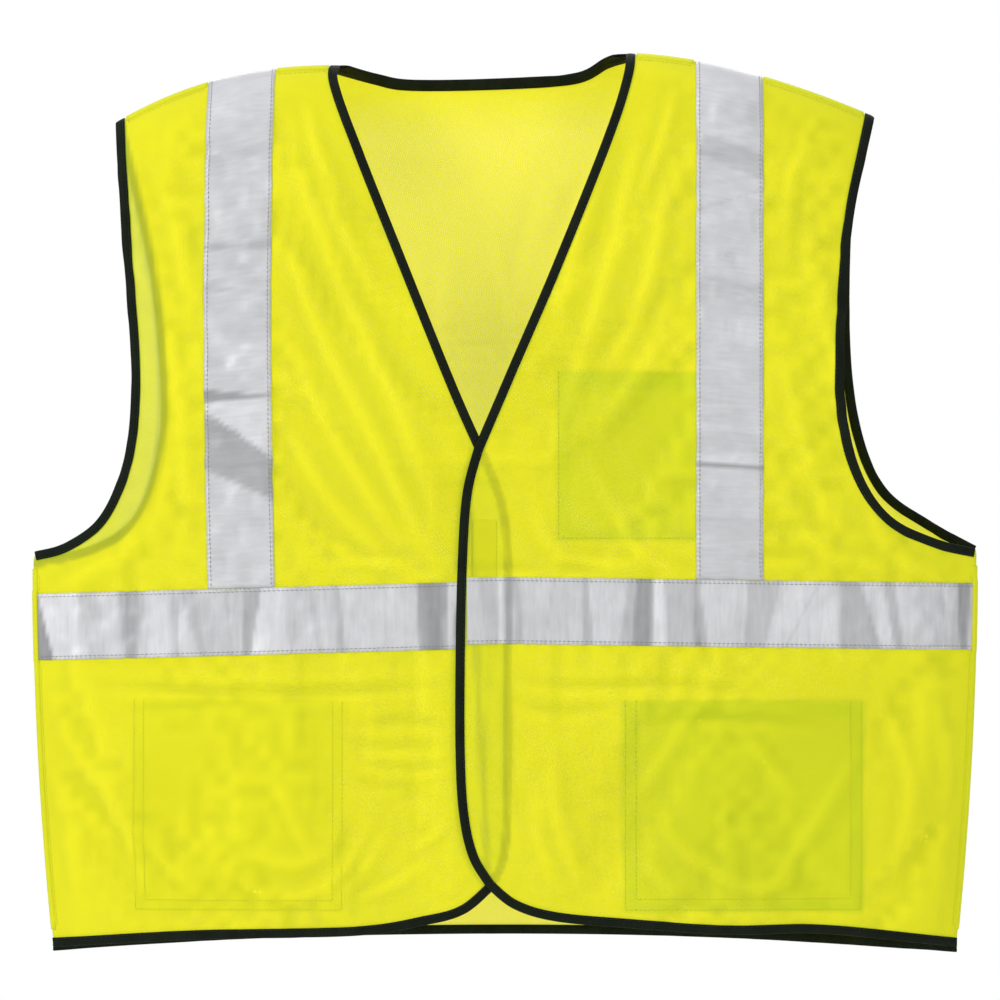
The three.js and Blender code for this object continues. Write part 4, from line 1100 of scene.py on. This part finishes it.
left_path = np.vstack([left_hem[::-1], left_edge[::-1][1:], left_neckline[::-1][1:]])
right_path = np.vstack([right_hem[::-1], right_edge[::-1][1:], right_neckline[::-1][1:]])
left_binding = bind("left_front_edge_binding", edge_run(left_path, -1, FRONT), lapped=True)
right_binding = bind("right_front_edge_binding", edge_run(right_path, 1, FRONT))
neck_binding = bind("back_neck_edge_binding", edge_run(back_neck, -1, BACK))
hem_binding = bind("back_hem_edge_binding", edge_run(back_hem, 1, BACK))
left_arm_binding = bind("left_armhole_edge_binding", edge_run(left_armhole, 1, FRONT),
                        edge_run(left_armhole_back[::-1], -1, BACK))
right_arm_binding = bind("right_armhole_edge_binding", edge_run(right_armhole, -1, FRONT),
                         edge_run(right_armhole_back[::-1], 1, BACK))

# %% [markdown]
# ## The seams
# Front and back are sewn together down the sides and over the shoulders, and the seam is turned and
# overlocked. What shows is a narrow raised welt of the same cloth that covers the join.

# %% Seam welts
def over_tape(line, side):
    """Extra height along a line where it crosses the waist tape: 0.9 mm on it, none 3 mm past its edges."""
    away = np.abs(line[:, 1] - waist_z(line[:, 0], side))
    return 0.0009 * (1 - smoothstep(away, TAPE_WIDTH / 2 + 0.0005, TAPE_WIDTH / 2 + 0.0035))


def welt(name, line, into):
    """A strip over a join: rows up to 3 mm into the front and the back, and a row on the join itself.

    Where the waist tape is caught in the join, the strip steps over the tape's end.
    """
    line = evenly(line, 0.003)
    faces = []
    for out in (FABRIC / 2 + 0.0001, FABRIC / 2 + 0.0007):
        rows = []
        for side, distance in ((FRONT, 0.0032), (FRONT, 0.0012), (BACK, 0.0012), (BACK, 0.0032)):
            here = line + np.asarray(into) * distance
            swell = 0.0003 if distance < 0.002 else 0.0
            rows.append(place(here[:, 0], here[:, 1], side, out + swell + over_tape(here, side)))
        middle = sum(place(line[:, 0], line[:, 1], side, out + over_tape(line, side))
                     for side in (FRONT, BACK)) / 2
        middle -= 0.0006 * np.array([into[0], 0, into[1]])
        faces.append(np.stack(rows[:2] + [middle] + rows[2:]))
    u = np.broadcast_to(np.array([-0.003, -0.001, 0, 0.001, 0.003])[:, None], faces[0].shape[:2])
    v = np.broadcast_to(lengths(line), u.shape)
    blank = np.zeros(u.shape)
    # The welt is coloured like cloth with a layer behind it: darker and greener, partly painted shade.
    return shell_between(name, faces[0], faces[1], (u, v), front_cloth,
                         {"behind": blank + 0.35, "under": blank,
                                                                       "shade": blank})


left_welt = welt("left_side_seam", left_side[3:-3], (-1, 0))
right_welt = welt("right_side_seam", right_side[3:-3], (1, 0))
BESIDE_TAPE = TAPE_WIDTH / 2 + 0.0012
TOP_SEAMS = {"left_shoulder_seam_neck": (0.099, LEFT_TAPE_X - BESIDE_TAPE),
             "left_shoulder_seam_tip": (LEFT_TAPE_X + BESIDE_TAPE, 0.269),
             "right_shoulder_seam_neck": (RIGHT_TAPE_X + BESIDE_TAPE, -0.132),
             "right_shoulder_seam_tip": (-0.284, RIGHT_TAPE_X - BESIDE_TAPE)}
top_welts = [welt(name, ridge_line(first, last, 45), (0, -1)) for name, (first, last) in TOP_SEAMS.items()]

# %% [markdown]
# ## Pockets and closure
# The pockets are patches of the same mesh, sewn to the inside of the fronts at their sides and foot, with
# a hemmed mouth that hangs a few millimetres open. The closure is a hook strip inside the left edge and a
# loop strip outside the right edge.

# %% Pockets and closure
POCKET_OUT = -FABRIC / 2 - 0.0007


def pocket(name, lapped):
    box = POCKETS[name]
    across = np.linspace(0, 1, 44)
    up = np.linspace(0, 1, 40)[:, None]
    X = box["x"][0] + (box["x"][1] - box["x"][0]) * across + 0 * up
    Z = box["bottom"] + (box["top"] - box["bottom"]) * up + 0 * across
    slack = 0.006 * np.sqrt(np.sin(math.pi * across)) * np.sin(math.pi / 2 * up)
    hem = 0.0004 * (1 - smoothstep(np.abs(Z - box["top"] + 0.012), 0.0, 0.0015))
    inner = place(X, Z, FRONT, POCKET_OUT - slack - FABRIC - hem, lapped)
    outer = place(X, Z, FRONT, POCKET_OUT - slack, lapped)
    # The pocket's hemmed mouth is coloured darker and greener, as a second layer with painted shade.
    masks = {"behind": 0.6 * smoothstep(Z, box["top"] - 0.013, box["top"] - 0.011), "under": 0 * X, "shade": 0 * X}
    return shell_between(name + "_cloth", inner, outer, flat_place(X, Z), front_cloth, masks)


chest_pocket = pocket("chest_pocket", True)
left_pocket = pocket("left_lower_pocket", True)
right_pocket = pocket("right_lower_pocket", False)


def strip(name, facing, lapped, material):
    X, Z = np.meshgrid(np.linspace(-0.0255, -0.0055, 9), np.linspace(-0.441, -0.346, 30))
    return shell(name, X, Z, FRONT, facing * TAPE_OUT, facing * (TAPE_OUT + 0.001), material, lapped)


hook = strip("hook_strip_pile", -1, True, hook_pile)
loop = strip("loop_strip_pile", 1, False, loop_pile)

# %% [markdown]
# ## Stitching
# Every seam is a row of lock stitches. One stitch is a short thread that dips at both ends, with a
# four-sided section, and a row of them is placed along a line on the surface.

# %% Stitches
def stitches(name, lines, material, width=0.00055, length=0.0026, gap=0.0008):
    """One mesh of stitches along lines: each entry is (line, side, distance out, lapped)."""
    verts, quads, count = [], [], 0
    for line, side, out, lapped in lines:
        total = lengths(line)[-1]
        number = max(1, int(total / (length + gap)))
        start = np.arange(number) * (total / number)
        bead = np.linspace(0, 1, 4)
        points = resample(line, (start[:, None] + length * bead).reshape(-1)).reshape(number, 4, 2)
        run = points[:, -1] - points[:, 0]
        run /= np.linalg.norm(run, axis=1, keepdims=True) + 1e-12
        beside = np.stack([-run[:, 1], run[:, 0]], -1)
        rise = width * 0.55 * np.sin(math.pi * bead)
        slim = 0.45 + 0.55 * np.sin(math.pi * bead)
        corners = []
        for across, up in ((-0.5, 0.0), (0.0, 0.7), (0.5, 0.0), (0.0, -0.5)):
            where = points + beside[:, None] * (across * width * slim)[None, :, None]
            corners.append(place(where[..., 0], where[..., 1], side,
                                 out + (rise + up * width * slim)[None, :], lapped))
        ring = np.stack(corners, 2).reshape(-1, 3)
        k = (np.arange(number)[:, None, None] * 16 + np.arange(3)[None, :, None] * 4 + count)
        i = np.arange(4)[None, None, :]
        body = np.stack([k + i, k + (i + 1) % 4, k + 4 + (i + 1) % 4, k + 4 + i], -1).reshape(-1, 4)
        first = np.arange(number)[:, None] * 16 + count
        caps = np.concatenate([first + np.array([[3, 2, 1, 0]]), first + np.array([[12, 13, 14, 15]])])
        verts.append(ring)
        quads.append(np.concatenate([body, caps]))
        count += len(ring)
    verts, quads = np.concatenate(verts), np.concatenate(quads)
    return solid(name, verts, outward(verts, quads), material)


def outward(verts, quads):
    """Turns all faces over when their signed volume is negative."""
    a, b, c, d = (verts[quads[:, k]] for k in range(4))
    volume = np.sum(np.cross(c - a, d - b) * (a + b + c + d))
    return quads if volume > 0 else quads[:, ::-1]


def level_line(x0, x1, side, offset, lapped=None):
    x = np.linspace(x0, x1, 200)
    return np.stack([x, waist_z(x, side, lapped) + offset], -1)


def upright(x, z0, z1, count=60):
    return np.stack([np.full(count, x), np.linspace(z0, z1, count)], -1)


INSET = TAPE_WIDTH / 2 - 0.0025
ON_TAPE = TAPE_OUT + TAPE
left_tape_stitch = stitches("left_tape_stitches",
                            [(level_line(left_start, seam_x, FRONT, s * INSET, True), FRONT,
                                                    ON_TAPE, True)
                                                   for s in (-1, 1)], grey_thread)
right_tape_stitch = stitches("right_tape_stitches",
                             [(level_line(-0.028, -seam_x, FRONT, s * INSET, False), FRONT,
                                                      ON_TAPE, False)
                                                     for s in (-1, 1)], grey_thread)
back_tape_stitch = stitches("back_tape_stitches",
                            [(level_line(-seam_x, seam_x, BACK, s * INSET), BACK, ON_TAPE, False)
                                                   for s in (-1, 1)], grey_thread)
shoulder_lines = []
for centre in (LEFT_TAPE_X, RIGHT_TAPE_X):
    for s in (-1, 1):
        for side in (FRONT, BACK):
            x = centre + s * INSET
            z = np.linspace(float(waist_z(np.array(x), side)) + 0.027,
                            float(ridge(np.array(x))) - 0.0005, 160)
            bend = -0.003 * np.sin(math.pi * np.linspace(0, 1, 160)) if centre < 0 and side == FRONT else 0
            shoulder_lines.append((np.stack([x + bend + 0 * z, z], -1), side, ON_TAPE, False))
shoulder_stitch = stitches("shoulder_tape_stitches", shoulder_lines, grey_thread)


def box_line(box, inset, top_gap=0.0):
    (x0, x1), top, bottom = box["x"], box["top"], box["bottom"]
    return np.vstack([upright(x0 + inset, top - top_gap, bottom + inset),
                      np.stack([np.linspace(x0 + inset, x1 - inset, 60), np.full(60, bottom + inset)], -1),
                      upright(x1 - inset, bottom + inset, top - top_gap)])


ON_CLOTH = FABRIC / 2
left_pocket_stitch = stitches("left_pocket_stitches",
                              [(box_line(POCKETS["left_lower_pocket"], i), FRONT, ON_CLOTH, True) for i in (0.002, 0.010)],
                              lime_thread, width=0.0004)
right_pocket_stitch = stitches("right_pocket_stitches",
                               [(box_line(POCKETS["right_lower_pocket"], i), FRONT, ON_CLOTH, False) for i in (0.002, 0.009)],
                               lime_thread, width=0.0004)
chest_box = POCKETS["chest_pocket"]
chest_stitch = stitches("chest_pocket_stitches",
                        [(np.vstack([upright(chest_box["x"][0] + 0.002, chest_box["top"], chest_box["bottom"] + 0.002),
                                     np.stack([np.linspace(chest_box["x"][0] + 0.002, 0.142, 60),
                                               np.full(60, chest_box["bottom"] + 0.002)], -1)]), FRONT, ON_CLOTH, True)],
                        lime_thread, width=0.0004)
closure_stitch = stitches("closure_stitches", [(line, FRONT, ON_CLOTH, True)
                                               for line in [upright(-0.0065, -0.388, -0.347), upright(-0.0245, -0.388, -0.347)]],
                          lime_thread, width=0.0004)


def edge_stitch(name, *runs, lapped=False):
    entries = []
    for points, inward, side in runs:
        entries.append((points + inward * (LIP - 0.0012), side, SLOT + THICK, lapped))
    return stitches(name, entries, black_thread, width=0.0005)


left_edge_stitch = edge_stitch("left_edge_stitches", edge_run(left_path, -1, FRONT), lapped=True)
right_edge_stitch = edge_stitch("right_edge_stitches", edge_run(right_path, 1, FRONT))
other_edge_stitch = edge_stitch("armhole_and_back_stitches", edge_run(left_armhole, 1, FRONT),
                                edge_run(left_armhole_back[::-1], -1, BACK),
                                edge_run(right_armhole, -1, FRONT),
                                edge_run(right_armhole_back[::-1], 1, BACK), edge_run(back_neck, -1, BACK),
                                edge_run(back_hem, 1, BACK))

seam_lines = []
for line, into in ((left_side, (-1, 0)), (right_side, (1, 0))):
    for side in (FRONT, BACK):
        run = line[4:-4] + np.array(into) * 0.0045
        off_middle = run[:, 1] - waist_z(run[:, 0], side)
        for part in (run[off_middle < -BESIDE_TAPE], run[off_middle > BESIDE_TAPE]):
            seam_lines.append((part, side, ON_CLOTH, False))
for first, last in TOP_SEAMS.values():
    for side in (FRONT, BACK):
        seam_lines.append((ridge_line(first + 0.001, last - 0.001, 45) + np.array((0, -0.0045)), side,
                           ON_CLOTH, False))
seam_stitch = stitches("seam_stitches", seam_lines, lime_thread, width=0.0004)

# %% [markdown]
# ## Hanging the pieces on the moving parts
# The pieces that cross a front's fold line stay where they are and the solid model's parts that they replace are
# hidden; the others ride the body or a flap.

# %% Bodies
def bends(made, flap, *nodes):
    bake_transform(made)
    if nodes:
        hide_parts(*nodes)


bends(left_front, "left_flap", "left_front_side", "left_front_flap")
bends(left_waist, "left_flap", "left_waist_tape", "left_flap_tape")
bends(left_binding, "left_flap", "left_neck_binding", "left_front_binding", "left_hem_binding")
bends(chest_pocket, "left_flap", "chest_pocket", "chest_pocket_flap")
for made in (left_tape_stitch, left_edge_stitch, chest_stitch):
    bends(made, "left_flap")
bends(right_front, "right_flap", "right_front_side", "right_front_flap")
bends(right_waist, "right_flap", "right_waist_tape", "right_flap_tape")
bends(right_binding, "right_flap", "right_neck_binding", "right_front_binding", "right_hem_binding")
for made in (right_tape_stitch, right_edge_stitch):
    bends(made, "right_flap")
for made, node in ((back_cloth, "back_panel"), (back_waist, "back_waist_tape"),
                   (left_shoulder, "left_shoulder_tape"),
                   (right_shoulder, "right_shoulder_tape"), (neck_binding, "back_neck_binding"),
                   (hem_binding, "back_hem_binding"), (left_arm_binding, "left_armhole_binding"),
                   (right_arm_binding, "right_armhole_binding"), (left_pocket, "left_lower_pocket"),
                   (right_pocket, "right_lower_pocket")):
    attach(made, "vest_body")
    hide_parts(node)
for made in (back_tape_stitch, shoulder_stitch, left_pocket_stitch, right_pocket_stitch, other_edge_stitch,
             left_welt, right_welt, *top_welts, seam_stitch):
    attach(made, "vest_body")
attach(hook, "left_flap")
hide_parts("hook_strip")
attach(closure_stitch, "left_flap")
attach(loop, "right_flap")
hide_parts("loop_strip")

# %% [markdown]

# %% [markdown]
# ## Camera, floor and light
# A soft, even studio: a pale floor below, a bright surround, and large lamps in front and above.

# %% Camera and light
camera_data = bpy.data.cameras.new("camera")
camera_data.lens = 384
camera_data.clip_end = 100
camera = bpy.data.objects.new("camera", camera_data)
camera.location = (-0.00375, -8.02, -0.3315)
camera.rotation_euler = (math.pi / 2, 0, 0)
bpy.context.scene.collection.objects.link(camera)
bpy.context.scene.camera = camera

floor_material, n, shader = new_material("Floor")
n.put(shader.inputs["Base Color"], scaled(n, (0.86, 0.86, 0.86),
                                          n.use(uneven, Place=n.object_place(), Low=0.98, High=1.0,
                                                                       Scale=3.0)["Factor"]))
shader.inputs["Roughness"].default_value = 0.9
shader.inputs["Emission Color"].default_value = (1, 1, 1, 1)
shader.inputs["Emission Strength"].default_value = 0.12
corners = np.array([(-9, -9, -0.86), (9, -9, -0.86), (9, 3.1, -0.86), (-9, 3.1, -0.86)])
floor = solid("floor", corners, np.array([[0, 1, 2, 3]]), floor_material)
for name, where, turn, size, power in (
        ("key", (-2.2, -1.6, 0.9), (62, 0, -54), (1.2, 1.6), 34),
        ("fill", (1.6, -2.6, 0.2), (84, 0, 32), (1.6, 1.8), 17),
        ("top", (0.0, 0.0, 1.7), (0, 0, 0), (2.0, 1.6), 12),
        ("rear", (0.3, 2.4, 1.0), (-62, 0, 0), (2.0, 1.6), 30)):
    data = bpy.data.lights.new(name, "AREA")
    data.shape, data.size, data.size_y, data.energy = "RECTANGLE", size[0], size[1], power
    lamp = bpy.data.objects.new(name, data)
    lamp.location = where
    lamp.rotation_euler = [math.radians(value) for value in turn]
    bpy.context.scene.collection.objects.link(lamp)

world = bpy.data.worlds.new("studio")
bpy.context.scene.world = world
world.use_nodes = True
tree = world.node_tree
background = tree.nodes["Background"]
background.inputs["Color"].default_value = (1, 1, 1, 1)
seen, lit = 1.0, 0.49
path = tree.nodes.new("ShaderNodeLightPath")
level = tree.nodes.new("ShaderNodeMapRange")
tree.links.new(path.outputs["Is Camera Ray"], level.inputs["Value"])
level.inputs["To Min"].default_value = lit
level.inputs["To Max"].default_value = seen
tree.links.new(level.outputs[0], background.inputs["Strength"])
bpy.context.scene.view_settings.view_transform = "Standard"
